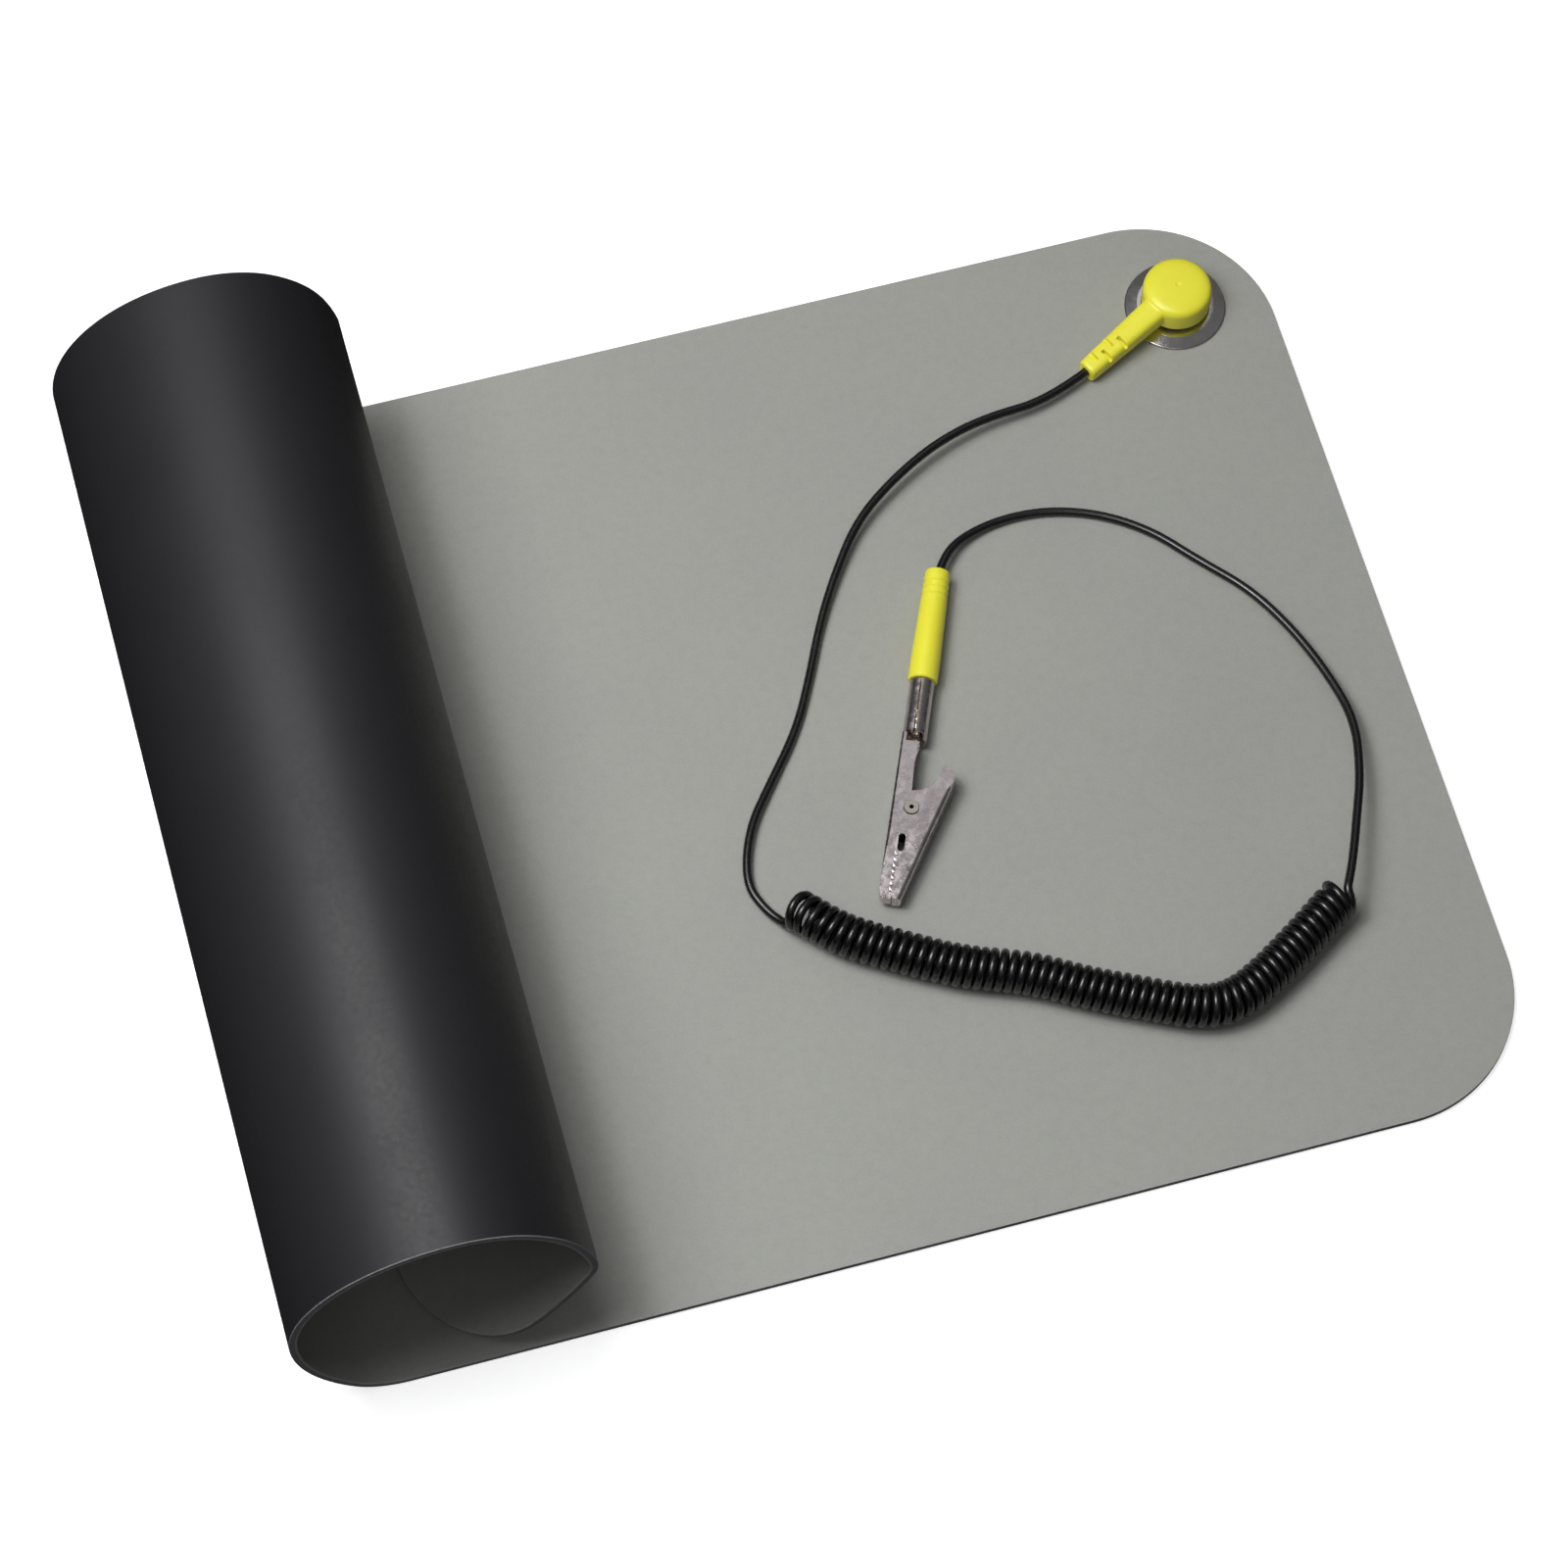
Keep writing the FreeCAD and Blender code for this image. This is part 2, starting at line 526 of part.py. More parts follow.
# strain-relief slots: across the top from one side to just past the middle, left and right in turn
fall = (V.neck_root_high - V.neck_end_high) / (V.neck_end - V.neck_root)
for i in range(4):
    at = P.notch_first - P.notch_pitch * i
    floor_z = P.neck_end_high + (P.neck_end - at) * fall - P.notch_depth
    sk = sketch_in(head, "XY_Plane", "slot_outline_%d" % i, floor_z)
    ys = (-P.notch_past, P.neck_root_half + 1) if i % 2 else (-P.neck_root_half - 1, P.notch_past)
    polygon(sk, [(at - P.notch_width * 0.5, ys[0]), (at + P.notch_width * 0.5, ys[0]), (at + P.notch_width * 0.5, ys[1]), (at - P.notch_width * 0.5, ys[1])])
    pocket(head, "slot_%d" % i, sk, 6, reverse=True)
head.Placement = HEAD

socket_room = cylinder("socket_room", P.socket_rad, P.socket_top - P.head_low + 1, (P.stud_x, P.stud_y, P.head_low - 1))
jacket_room = doc.addObject("Part::Cylinder", "jacket_room")
bind(jacket_room, "Radius", P.cord_rad)
bind(jacket_room, "Height", P.jacket_tuck + 1)
jacket_room.Placement = HEAD.multiply(Placement(Vector(V.neck_end - V.jacket_tuck, 0, V.mouth_height), Rotation(Vector(0, 0, 1), Vector(1, 0, 0))))
eyelet_room = cylinder("eyelet_room", P.eyelet_head_rad, P.eyelet_head_thick, (P.stud_x, P.stud_y, e_seat))
shank_room = cylinder("shank_room", P.eyelet_rad, P.terminal_thick + 0.2, (P.stud_x, P.stud_y, P.socket_top - 0.1))
rooms = fuse("head_rooms", [socket_room, jacket_room, eyelet_room, shank_room, terminal, resistor, leads, strand])
node(cut("snap_head", head, rooms), "snap_head")

# ------------------------------------------------------------- plug and clip
sleeve = new_body("plug_sleeve")
revolve(sleeve, "sleeve_turned", [
    (0, P.cord_rad), (0, P.sleeve_tail_rad - 0.5), (0.5, P.sleeve_tail_rad), (P.sleeve_mid_at, P.sleeve_mid_rad),
    (P.sleeve_length - 0.4, P.sleeve_front_rad + 0.05), (P.sleeve_length, P.sleeve_front_rad - 0.35), (P.sleeve_length, P.plug_root_rad),
    (P.plug_root_at, P.plug_root_rad), (P.plug_root_at, P.plug_strand_rad), (P.jacket_tuck, P.plug_strand_rad), (P.jacket_tuck, P.cord_rad)],
    axis="H_Axis")
node(sleeve, "plug_sleeve", CLIP)

pin = new_body("banana_plug_pin")
revolve(pin, "pin_turned", [
    (P.plug_root_at, P.plug_strand_rad), (P.plug_root_at, P.plug_root_rad), (P.sleeve_length, P.plug_root_rad),
    (P.sleeve_length, P.pin_collar_rad), (P.leaf_start - 0.4, P.pin_collar_rad), (P.leaf_start - 0.4, P.pin_rad),
    (P.leaf_end + 0.4, P.pin_rad), (P.leaf_end + 0.4, P.pin_collar_rad - 0.1), (P.pin_end - 0.6, P.pin_rad), (P.pin_end, P.pin_rad - 0.7), (P.pin_end, 0),
    (P.plug_cup_end, 0), (P.plug_cup_end, P.plug_strand_rad)],
    axis="H_Axis")
node(pin, "banana_plug_pin", CLIP)

leaves = new_body("banana_spring_leaves")
ls, le, t = P.leaf_start, P.leaf_end, P.leaf_thick
revolve(leaves, "leaf_sleeve", [
    (ls, P.leaf_end_rad), (ls + 1.0, P.leaf_end_rad), (ls + 3.4, P.leaf_belly_rad), (le - 3.4, P.leaf_belly_rad), (le - 1.0, P.leaf_end_rad), (le, P.leaf_end_rad),
    (le, P.leaf_end_rad + t), (le - 0.9, P.leaf_end_rad + t), (le - 3.3, P.leaf_belly_rad + t), (ls + 3.3, P.leaf_belly_rad + t), (ls + 0.9, P.leaf_end_rad + t), (ls, P.leaf_end_rad + t)],
    axis="H_Axis")
for role, tag in (("XY_Plane", "flat"), ("XZ_Plane", "upright")):
    sk = sketch_in(leaves, role, "leaf_slot_" + tag)
    polygon(sk, [(ls + 1.2, -P.leaf_slot * 0.5), (le - 1.2, -P.leaf_slot * 0.5), (le - 1.2, P.leaf_slot * 0.5), (ls + 1.2, P.leaf_slot * 0.5)])
    pocket(leaves, "leaf_cut_" + tag, sk, 10, midplane=True)
node(leaves, "banana_spring_leaves", CLIP)

plug_strand = cylinder("plug_end_conductor", P.plug_strand_rad, P.plug_cup_end - P.jacket_tuck)
for letter in "xyz":
    plug_strand.setExpression("Placement.Base." + letter, None)
plug_strand.Placement = CLIP.multiply(Placement(Vector(V.jacket_tuck, 0, 0), Rotation(Vector(0, 0, 1), Vector(1, 0, 0))))
node(plug_strand, "plug_end_conductor")


def teeth(start, end, v_start, v_end, count, depth):
    """Zigzag edge from start to end: tips on the line, roots set back by depth."""
    found = []
    for i in range(count):
        for share, back in ((0.0, 0.0), (0.5, depth)):
            k = (i + share) / count
            found.append((start + (end - start) * k, v_start + (v_end - v_start) * k + back))
    return found


def jaw(label, side_points, hollow_points, half, hole_rad, extra_tools, extra_solids=(), end_points=None):
    outer_side = extrude(label + "_side", flat_sketch(label + "_side_outline", side_points), 20)
    end = P.jaw_end
    plan = [(40, -half), (P.taper_from, -half), (end, P.nose_taper - half), (end, half - P.nose_taper), (P.taper_from, half), (40, half)]
    outer_plan = extrude(label + "_plan", flat_sketch(label + "_plan_outline", plan, upright=True), 60)
    hollow_side = extrude(label + "_hollow_side", flat_sketch(label + "_hollow_side_outline", hollow_points), 20)
    inner = half - P.jaw_wall
    plan = [(30, -inner), (P.taper_from, -inner), (end + 2, P.nose_taper * 1.12 - inner), (end + 2, inner - P.nose_taper * 1.12), (P.taper_from, inner), (30, inner)]
    hollow_plan = extrude(label + "_hollow_plan", flat_sketch(label + "_hollow_plan_outline", plan, upright=True), 60)
    blanks = [outer_side, outer_plan]
    if end_points:
        blanks.append(extrude(label + "_end", flat_sketch(label + "_end_outline", end_points, end_on=True), 220))
    channel = cut(label + "_channel", common(label + "_blank", blanks), common(label + "_hollow", [hollow_side, hollow_plan]))
    hole = cylinder(label + "_pivot_hole", hole_rad, 20, (P.pivot_at, P.pivot_side, -10))
    eye = fuse(label + "_eye", [
        cylinder(label + "_eye_a", P.eye_rad, 20, (P.eye_at - P.eye_half_length + P.eye_rad, P.eye_side, -10)),
        cylinder(label + "_eye_b", P.eye_rad, 20, (P.eye_at + P.eye_half_length - P.eye_rad, P.eye_side, -10)),
        box(label + "_eye_c", (P.eye_at - P.eye_half_length + P.eye_rad, P.eye_side - P.eye_rad, -10), ((P.eye_half_length - P.eye_rad) * 2, P.eye_rad * 2, 20))])
    body = channel
    if extra_solids:
        body = fuse(label + "_with_tail", [channel] + list(extra_solids))
    return cut(label + "_cut", body, fuse(label + "_tools", [hole, eye] + list(extra_tools)))


# fixed jaw: rolled tail tube, open neck and a channel with two ears
tail_outer = cylinder("tail_outer", P.tube_rad, P.tube_end - P.tube_start, (P.tube_start, 0, 0), (1, 0, 0))
tail_bore = cylinder("tail_bore", P.tube_rad - P.tube_wall, P.tube_end - P.sleeve_length + 2, (P.sleeve_length - 1, 0, 0), (1, 0, 0))
tail = cut("tail_tube", tail_outer, tail_bore)
seam = box("tail_seam", (P.sleeve_length - 1, P.seam_width * -0.5 - 0.2, 0.5), (P.tube_end - P.sleeve_length + 1.5, P.seam_width, 6))
notch = box("tail_notch", (P.notch_from, -P.notch_half, 1.0), (P.notch_to - P.notch_from, P.notch_half * 2, 6))
bottom_teeth = teeth(88.0, 77.2, -0.15, 0.15, 7, -0.75)
fixed_side = [(45.2, -2.95), (58.0, -3.1), (85.5, -3.3), (88.2, -2.95), (P.jaw_end, -2.1), (P.jaw_end, -0.2)] + bottom_teeth + \
    [(77.0, 0.2), (72.0, 0.4), (69.6, 1.0), (68.8, 3.4), (66.8, 4.5), (63.7, 4.5), (61.8, 3.4), (60.6, 1.2), (54.0, 0.9), (49.0, 1.1), (47.0, 1.5), (45.2, 1.5)]
fixed_hollow = [(43.0, -2.45), (58.0, -2.6), (85.2, -2.8), (88.4, -2.0), (88.4, 9.0), (43.0, 9.0)]
# the folds along its spine are rounded off, which also lets the clip turn over on the plug
folds = [(-3.6, -1.7), (-2.45, -P.fixed_half - 0.1), (12.0, -P.fixed_half - 0.1), (12.0, P.fixed_half + 0.1), (-2.45, P.fixed_half + 0.1), (-3.6, 1.7)]
fixed = jaw("fixed_jaw", fixed_side, fixed_hollow, P.fixed_half, P.pivot_rad, [seam, notch], [tail], folds)
node(fixed, "clip_fixed_jaw", CLIP)

# moving jaw: channel that straddles the fixed ears, with the thumb lever behind
top_teeth = teeth(87.9, 77.2, -0.95, -0.75, 7, 0.75)
moving_side = [(P.jaw_end, 2.2), (58.4, 10.7), (56.6, 11.0), (54.9, 10.75), (53.6, 9.7), (53.1, 8.5), (53.7, 7.7), (54.9, 7.6), (57.2, 7.0), (59.2, 5.4), (60.2, 3.6), (60.9, 1.0), (62.6, -0.9), (65.2, -1.6),
               (67.9, -1.2), (69.8, -0.9), (77.0, -0.8)] + top_teeth[::-1] + [(88.1, 0.05), (P.jaw_end, 0.05)]
moving_hollow = [(88.4, -6.0), (88.4, 1.83), (58.3, 10.15), (56.6, 10.45), (55.2, 10.25), (54.4, 9.6), (54.4, -6.0)]
moving = jaw("moving_jaw", moving_side, moving_hollow, P.moving_half, P.pivot_rad + P.pivot_play, [])
node(moving, "clip_moving_jaw", CLIP)

PIVOT = CLIP.multiply(Placement(Vector(V.pivot_at, V.pivot_side, 0), Rotation()))
pivot = new_body("clip_pivot_rivet")
ph, pl = P.pivot_head_high, P.pivot_head_low
revolve(pivot, "pivot_turned", [
    (P.pivot_bore_rad, -ph), (P.pivot_head_rad - 0.2, -ph), (P.pivot_head_rad, -pl), (P.pivot_rad, -pl), (P.pivot_rad, pl),
    (P.pivot_head_rad, pl), (P.pivot_head_rad - 0.2, ph), (P.pivot_bore_rad, ph)])
node(pivot, "clip_pivot_rivet", PIVOT)

spring_helix = doc.addObject("Part::Helix", "spring_helix")
bind(spring_helix, "Pitch", P.spring_pitch)
bind(spring_helix, "Height", P.spring_pitch * P.spring_turns)
bind(spring_helix, "Radius", P.spring_rad)
bind(spring_helix, "Placement.Base.z", P.spring_pitch * P.spring_turns * -0.5)
spring_section = doc.addObject("Part::Circle", "spring_section")
bind(spring_section, "Radius", P.spring_wire_rad)
spring_section.Placement = Placement(Vector(V.spring_rad, 0, -V.spring_pitch * V.spring_turns / 2), Rotation(Vector(0, 0, 1), Vector(0, 1, 0)))
doc.recompute()
spring_coil = doc.addObject("Part::Sweep", "spring_coil")
spring_coil.Sections = [spring_section]
spring_coil.Spine = (spring_helix, ["Edge%d" % (i + 1) for i in range(len(spring_helix.Shape.Edges))])
spring_coil.Solid = True
spring_coil.Frenet = True
half_stack = P.spring_pitch * P.spring_turns * 0.5
leg_a = cylinder("spring_leg_a", P.spring_wire_rad, P.spring_leg_fixed, (P.spring_rad, 0, -half_stack), (0, -1, 0))
leg_b = cylinder("spring_leg_b", P.spring_wire_rad, P.spring_leg_moving, (P.spring_rad, 0, half_stack), (0, 1, 0))
node(fuse("clip_spring", [spring_coil, leg_a, leg_b]), "clip_torsion_spring", PIVOT)

# ----------------------------------------------------------------- the cord
# Each lead is straight runs joined by tangent arcs.  It starts a few
# millimetres inside its moulding and meets the coil's end face square on.
head_axis = HEADING * 1.0
head_axis.normalize()
clip_axis = Vector(math.cos(math.radians(V.clip_heading)), math.sin(math.radians(V.clip_heading)), 0)
neck_mouth = Vector(V.stud_x, V.stud_y, V.mouth_height) + head_axis * V.neck_end
sleeve_mouth = Vector(V.clip_x, V.clip_y, V.clip_height)
coil_route = [Vector(x, y, V.coil_height) for x, y in (
    (-9.3, -38.0), (0.3, -47.6), (13.0, -55.5), (25.0, -62.4), (39.0, -67.4), (51.3, -74.9),
    (63.6, -81.0), (75.0, -86.6), (83.6, -87.2), (92.5, -83.2), (103.3, -76.7), (116.1, -69.6))]


def face_point(centre, along, around):
    """Where a lead meets the coil's end face, as an angle round from its left side over the top."""
    around = math.radians(around)
    return centre + (Vector(-along.y, along.x, 0) * math.cos(around) + Vector(0, 0, 1) * math.sin(around)) * (V.coil_rad - V.cord_rad)


first_axis = (coil_route[1] - coil_route[0]).normalize()
last_axis = (coil_route[-1] - coil_route[-2]).normalize()
meet_snap = face_point(coil_route[0], first_axis, 239.6)
meet_clip = face_point(coil_route[-1], last_axis, 100.0)
snap_route = [neck_mouth - head_axis * V.jacket_tuck, neck_mouth + head_axis * 11.5] + [Vector(*p) for p in (
    (71.1, 79.2, 6.6), (57.4, 75.2, 7.3), (44.1, 68.2, 7.1), (32.7, 59.9, 6.2), (23.7, 47.8, 5.0),
    (16.5, 35.9, 4.1), (10.2, 22.6, 3.6), (3.4, 9.9, 3.8), (-6.2, -2.0, 4.5), (-14.7, -12.8, 4.9),
    (-19.2, -26.2, 4.3))] + [meet_snap - first_axis * 7.5, meet_snap]
clip_route = [sleeve_mouth + clip_axis * V.jacket_tuck, sleeve_mouth - clip_axis * 4.6] + [Vector(*p) for p in (
    (60.8, 51.4, 3.95), (75.6, 52.6, 3.5), (89.9, 48.5, 3.55), (102.2, 40.1, 3.5), (111.2, 28.9, 3.6), (121.0, 17.9, 3.6),
    (127.5, 4.3, 4.6), (131.6, -9.9, 5.8), (133.8, -24.8, 7.6), (130.2, -39.2, 9.2), (125.2, -50.5, 10.4), (123.4, -58.8, 11.2))] + [meet_clip + last_axis * 7.0, meet_clip]


def cord_tube(name, route, radius):
    edges = points_to_edges(route)
    path = Part.Wire(edges)
    section = Part.Wire(Part.Circle(route[0], (route[1] - route[0]).normalize(), radius).toShape())
    shape = path.makePipeShell([section], True, True)
    radii = [e.Curve.Radius for e in edges if e.Curve.TypeId == "Part::GeomCircle"]
    print("%s: length %.1f mm, arc radii %s" % (name, path.Length, " ".join("%.0f" % r for r in radii)))
    print("   smallest %.1f diameters, volume over section x length %.5f" % (min(radii) / radius / 2, shape.Volume / (math.pi * radius ** 2 * path.Length)))
    print("   end", [round(c, 2) for c in route[0]], [round(c, 2) for c in route[1]], "...", [round(c, 2) for c in route[-2]], [round(c, 2) for c in route[-1]])
    obj = doc.addObject("Part::Feature", name)
    obj.Shape = shape
    return node(obj, name)


cord_tube("cord_lead_snap", snap_route, V.cord_rad)
cord_tube("cord_coil", coil_route, V.coil_rad)
cord_tube("cord_lead_clip", clip_route, V.cord_rad)

# ------------------------------------------------------------ check and write
doc.recompute()
wrong = []
for obj in doc.Objects:
    if "Invalid" in obj.State or "Error" in obj.State:
        wrong.append("%s is %s" % (obj.Name, obj.State))
for label, obj in NODES:
    shape = obj.Shape
    if shape.isNull() or not shape.isValid() or not shape.Solids:
        wrong.append("%s has no valid shape" % label)
        continue
    b = shape.BoundBox
    print("%-22s solids %d volume %9.2f  x %.2f..%.2f  y %.2f..%.2f  z %.2f..%.2f" % (label, len(shape.Solids), shape.Volume, b.XMin, b.XMax, b.YMin, b.YMax, b.ZMin, b.ZMax))
if wrong:
    raise SystemExit("\n".join(wrong))
os.makedirs("parts", exist_ok=True)
for label, obj in NODES:
    obj.Shape.exportStep("parts/%s.step" % label)
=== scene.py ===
import math
import random

import bmesh
import bpy
import numpy as np
from mathutils import Matrix, Vector


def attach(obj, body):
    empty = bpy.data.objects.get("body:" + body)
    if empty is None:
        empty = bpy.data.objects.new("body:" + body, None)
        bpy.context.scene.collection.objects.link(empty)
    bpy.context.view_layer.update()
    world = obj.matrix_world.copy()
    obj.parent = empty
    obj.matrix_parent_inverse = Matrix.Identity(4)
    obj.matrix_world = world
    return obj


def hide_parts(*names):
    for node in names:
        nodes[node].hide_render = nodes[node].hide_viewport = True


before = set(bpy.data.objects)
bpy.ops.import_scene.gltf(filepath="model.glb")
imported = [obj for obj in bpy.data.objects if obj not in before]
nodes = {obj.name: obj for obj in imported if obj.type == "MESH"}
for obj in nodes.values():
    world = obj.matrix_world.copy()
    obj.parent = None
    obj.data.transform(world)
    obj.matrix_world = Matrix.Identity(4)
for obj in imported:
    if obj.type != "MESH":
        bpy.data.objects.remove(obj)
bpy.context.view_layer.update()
MM = 0.001
random.seed(11)
scene = bpy.context.scene
scene.view_settings.view_transform = "Standard"
scene.view_settings.look = "None"


# =============================================================== the camera
def make_camera():
    a, e, tilt = math.radians(-16.651), math.radians(64.927), math.radians(1.367)
    back = Vector((math.sin(a) * math.cos(e), -math.cos(a) * math.cos(e), math.sin(e)))
    right = Vector((math.cos(a), math.sin(a), 0))
    up = back.cross(right)
    r2 = right * math.cos(tilt) + up * math.sin(tilt)
    u2 = -right * math.sin(tilt) + up * math.cos(tilt)
    data = bpy.data.cameras.new("camera")
    data.sensor_width, data.lens = 36.0, 119.5
    data.clip_start, data.clip_end = 0.05, 20
    cam = bpy.data.objects.new("camera", data)
    m = Matrix((r2, u2, back)).transposed().to_4x4()
    m.translation = Vector((-0.1555, -0.51202, 1.13847))
    cam.matrix_world = m
    scene.collection.objects.link(cam)
    scene.camera = cam


make_camera()


# ================================================================ materials
def lin(r, g, b):
    """A colour as it looks on screen, 0 to 255, as the shader wants it."""
    return tuple((c / 255 / 12.92 if c <= 10.3 else ((c / 255 + 0.055) / 1.055) ** 2.4) for c in (r, g, b)) + (1.0,)


def material(name, colour, roughness=0.5, metallic=0.0, specular=0.5, coat=0.0, coat_roughness=0.1, subsurface=0.0, subsurface_scale=0.001,
             sheen=0.0, tints=(), patches=(), bumps=(), edge_scuff_and_highlight=None):
    """A principled material whose colour, roughness and bump vary by noise in the row frame.
    tints: (scale per metre, detail, low, high, colour, amount, (sx, sy, sz));  patches: (scale, detail, change of
    roughness, (sx, sy, sz));
    bumps: (kind, scale, detail, strength, distance, (sx, sy, sz));  last argument: (attribute, colour, amount), a
    lighter colour where the attribute is high, partly scuffing and partly a painted highlight."""
    m = bpy.data.materials.new(name)
    m.use_nodes = True
    m.diffuse_color = colour
    nt = m.node_tree
    nt.nodes.clear()
    out = nt.nodes.new("ShaderNodeOutputMaterial")
    bsdf = nt.nodes.new("ShaderNodeBsdfPrincipled")
    nt.links.new(bsdf.outputs["BSDF"], out.inputs["Surface"])
    coord = nt.nodes.new("ShaderNodeTexCoord")

    def mapped(stretch):
        if stretch is None:
            return coord.outputs["Object"]
        mp = nt.nodes.new("ShaderNodeMapping")
        mp.inputs["Scale"].default_value = stretch
        nt.links.new(coord.outputs["Object"], mp.inputs["Vector"])
        return mp.outputs["Vector"]

    def noise(scale, detail, stretch, rough=0.55):
        n = nt.nodes.new("ShaderNodeTexNoise")
        n.inputs["Scale"].default_value = scale
        n.inputs["Detail"].default_value = detail
        n.inputs["Roughness"].default_value = rough
        nt.links.new(mapped(stretch), n.inputs["Vector"])
        return n.outputs["Fac"]

    def ranged(value, a, b, c, d):
        r = nt.nodes.new("ShaderNodeMapRange")
        r.inputs["From Min"].default_value, r.inputs["From Max"].default_value = a, b
        r.inputs["To Min"].default_value, r.inputs["To Max"].default_value = c, d
        nt.links.new(value, r.inputs["Value"])
        return r.outputs["Result"]

    bsdf.inputs["Base Color"].default_value = colour
    found = None
    layers = [(ranged(noise(s, d, st), lo, hi, 0.0, amount), other) for s, d, lo, hi, other, amount, st in tints]
    # the rim attribute lightens the colour along the edges: partly scuffing, partly a painted highlight on edges that
    # sit in shade
    if edge_scuff_and_highlight is not None:
        attribute = nt.nodes.new("ShaderNodeAttribute")
        attribute.attribute_name = edge_scuff_and_highlight[0]
        breakup = ranged(noise(900, 3, None), 0.3, 0.7, 0.75, 1.0)
        times = nt.nodes.new("ShaderNodeMath")
        times.operation = "MULTIPLY"
        nt.links.new(attribute.outputs["Fac"], times.inputs[0])
        nt.links.new(breakup, times.inputs[1])
        layers.append((ranged(times.outputs["Value"], 0.0, 1.0, 0.0, edge_scuff_and_highlight[2]), edge_scuff_and_highlight[1]))
    for fac, other in layers:
        mix = nt.nodes.new("ShaderNodeMix")
        mix.data_type = "RGBA"
        mix.inputs[7].default_value = other
        if found is None:
            mix.inputs[6].default_value = colour
        else:
            nt.links.new(found, mix.inputs[6])
        nt.links.new(fac, mix.inputs[0])
        found = mix.outputs[2]
    if found is not None:
        nt.links.new(found, bsdf.inputs["Base Color"])
    bsdf.inputs["Roughness"].default_value = roughness
    rough = None
    for s, d, change, st in patches:
        value = ranged(noise(s, d, st), 0.3, 0.7, -change, change)
        add = nt.nodes.new("ShaderNodeMath")
        add.operation = "ADD"
        add.inputs[1].default_value = roughness
        nt.links.new(value, add.inputs[0])
        if rough is not None:
            nt.links.new(rough, add.inputs[1])
        rough = add.outputs["Value"]
    if rough is not None:
        nt.links.new(rough, bsdf.inputs["Roughness"])
    bsdf.inputs["Metallic"].default_value = metallic
    bsdf.inputs["Specular IOR Level"].default_value = specular
    bsdf.inputs["Coat Weight"].default_value = coat
    bsdf.inputs["Coat Roughness"].default_value = coat_roughness
    bsdf.inputs["Subsurface Weight"].default_value = subsurface
    bsdf.inputs["Subsurface Scale"].default_value = subsurface_scale
    bsdf.inputs["Sheen Weight"].default_value = sheen
    normal = None
    for kind, scale, detail, strength, distance, st in bumps:
        if kind == "noise":
            height = noise(scale, detail, st)
        else:
            tex = nt.nodes.new("ShaderNodeTexVoronoi")
            tex.feature = kind
            tex.inputs["Scale"].default_value = scale
            nt.links.new(mapped(st), tex.inputs["Vector"])
            height = tex.outputs["Distance"]
        bump = nt.nodes.new("ShaderNodeBump")
        bump.inputs["Strength"].default_value = strength
        bump.inputs["Distance"].default_value = distance
        nt.links.new(height, bump.inputs["Height"])
        if normal is not None:
            nt.links.new(normal, bump.inputs["Normal"])
        normal = bump.outputs["Normal"]
    if normal is not None:
        nt.links.new(normal, bsdf.inputs["Normal"])
    return m


# both rubbers are painted lighter along the mat's cut edges (rim attribute): partly scuffing, partly a painted
# highlight
GREY = material("grey_rubber", lin(166, 167, 160), roughness=0.56, specular=0.42,
                tints=[(14, 3, 0.35, 0.7, lin(158, 158, 153), 0.5, None), (420, 4, 0.4, 0.75, lin(148, 150, 144), 0.35, None),
                       (2600, 2, 0.45, 0.7, lin(184, 185, 178), 0.3, None)],
                patches=[(30, 3, 0.04, None), (900, 2, 0.05, None)],
                bumps=[("noise", 1500, 3, 0.35, 0.00012, None), ("noise", 260, 2, 0.15, 0.0003, None)],
                edge_scuff_and_highlight=("rim", lin(206, 206, 204), 0.7))
BLACK = material("black_rubber", lin(36, 35, 38), roughness=0.52, specular=0.38,
                 tints=[(12, 3, 0.4, 0.7, lin(30, 29, 33), 0.5, None), (700, 3, 0.4, 0.75, lin(31, 31, 34), 0.3, None)],
                 patches=[(22, 4, 0.04, None), (700, 2, 0.03, None)],
                 bumps=[("noise", 1300, 2, 0.14, 0.00006, None), ("noise", 180, 2, 0.08, 0.0003, None)],
                 edge_scuff_and_highlight=("rim", lin(176, 174, 180), 0.85))
PLATE = material("bright_plate", lin(222, 218, 214), roughness=0.16, metallic=1.0,
                 tints=[(350, 3, 0.45, 0.8, lin(188, 178, 176), 0.4, None)],
                 patches=[(300, 4, 0.06, None), (2500, 2, 0.03, None)],
                 bumps=[("noise", 900, 2, 0.10, 0.0001, None)])
NICKEL = material("nickel_steel", lin(206, 200, 190), roughness=0.22, metallic=1.0,
                  tints=[(500, 3, 0.45, 0.8, lin(170, 160, 150), 0.4, None)],
                  patches=[(600, 4, 0.08, None)], bumps=[("noise", 1400, 2, 0.10, 0.0001, None)])
SPRING = material("spring_steel", lin(168, 166, 164), roughness=0.3, metallic=1.0,
                  tints=[(900, 3, 0.4, 0.7, lin(120, 112, 104), 0.4, None)],
                  patches=[(900, 3, 0.08, None)], bumps=[("noise", 2600, 2, 0.15, 0.00005, None)])
BRASS = material("brass", lin(214, 178, 98), roughness=0.28, metallic=1.0,
                 tints=[(500, 3, 0.4, 0.75, lin(168, 128, 70), 0.45, None)],
                 patches=[(700, 3, 0.08, None)], bumps=[("noise", 1800, 2, 0.12, 0.00006, None)])
TINNED = material("tinned_brass", lin(206, 204, 196), roughness=0.34, metallic=1.0,
                  tints=[(700, 3, 0.4, 0.75, lin(170, 164, 150), 0.45, None)],
                  patches=[(900, 3, 0.1, None)], bumps=[("noise", 2200, 2, 0.15, 0.00006, None)])
LACQUER = material("resistor_lacquer", lin(120, 156, 190), roughness=0.36, coat=0.3,
                   tints=[(1200, 3, 0.4, 0.7, lin(104, 138, 172), 0.5, None)],
                   patches=[(900, 2, 0.05, None)], bumps=[("noise", 1800, 2, 0.15, 0.00008, None)])
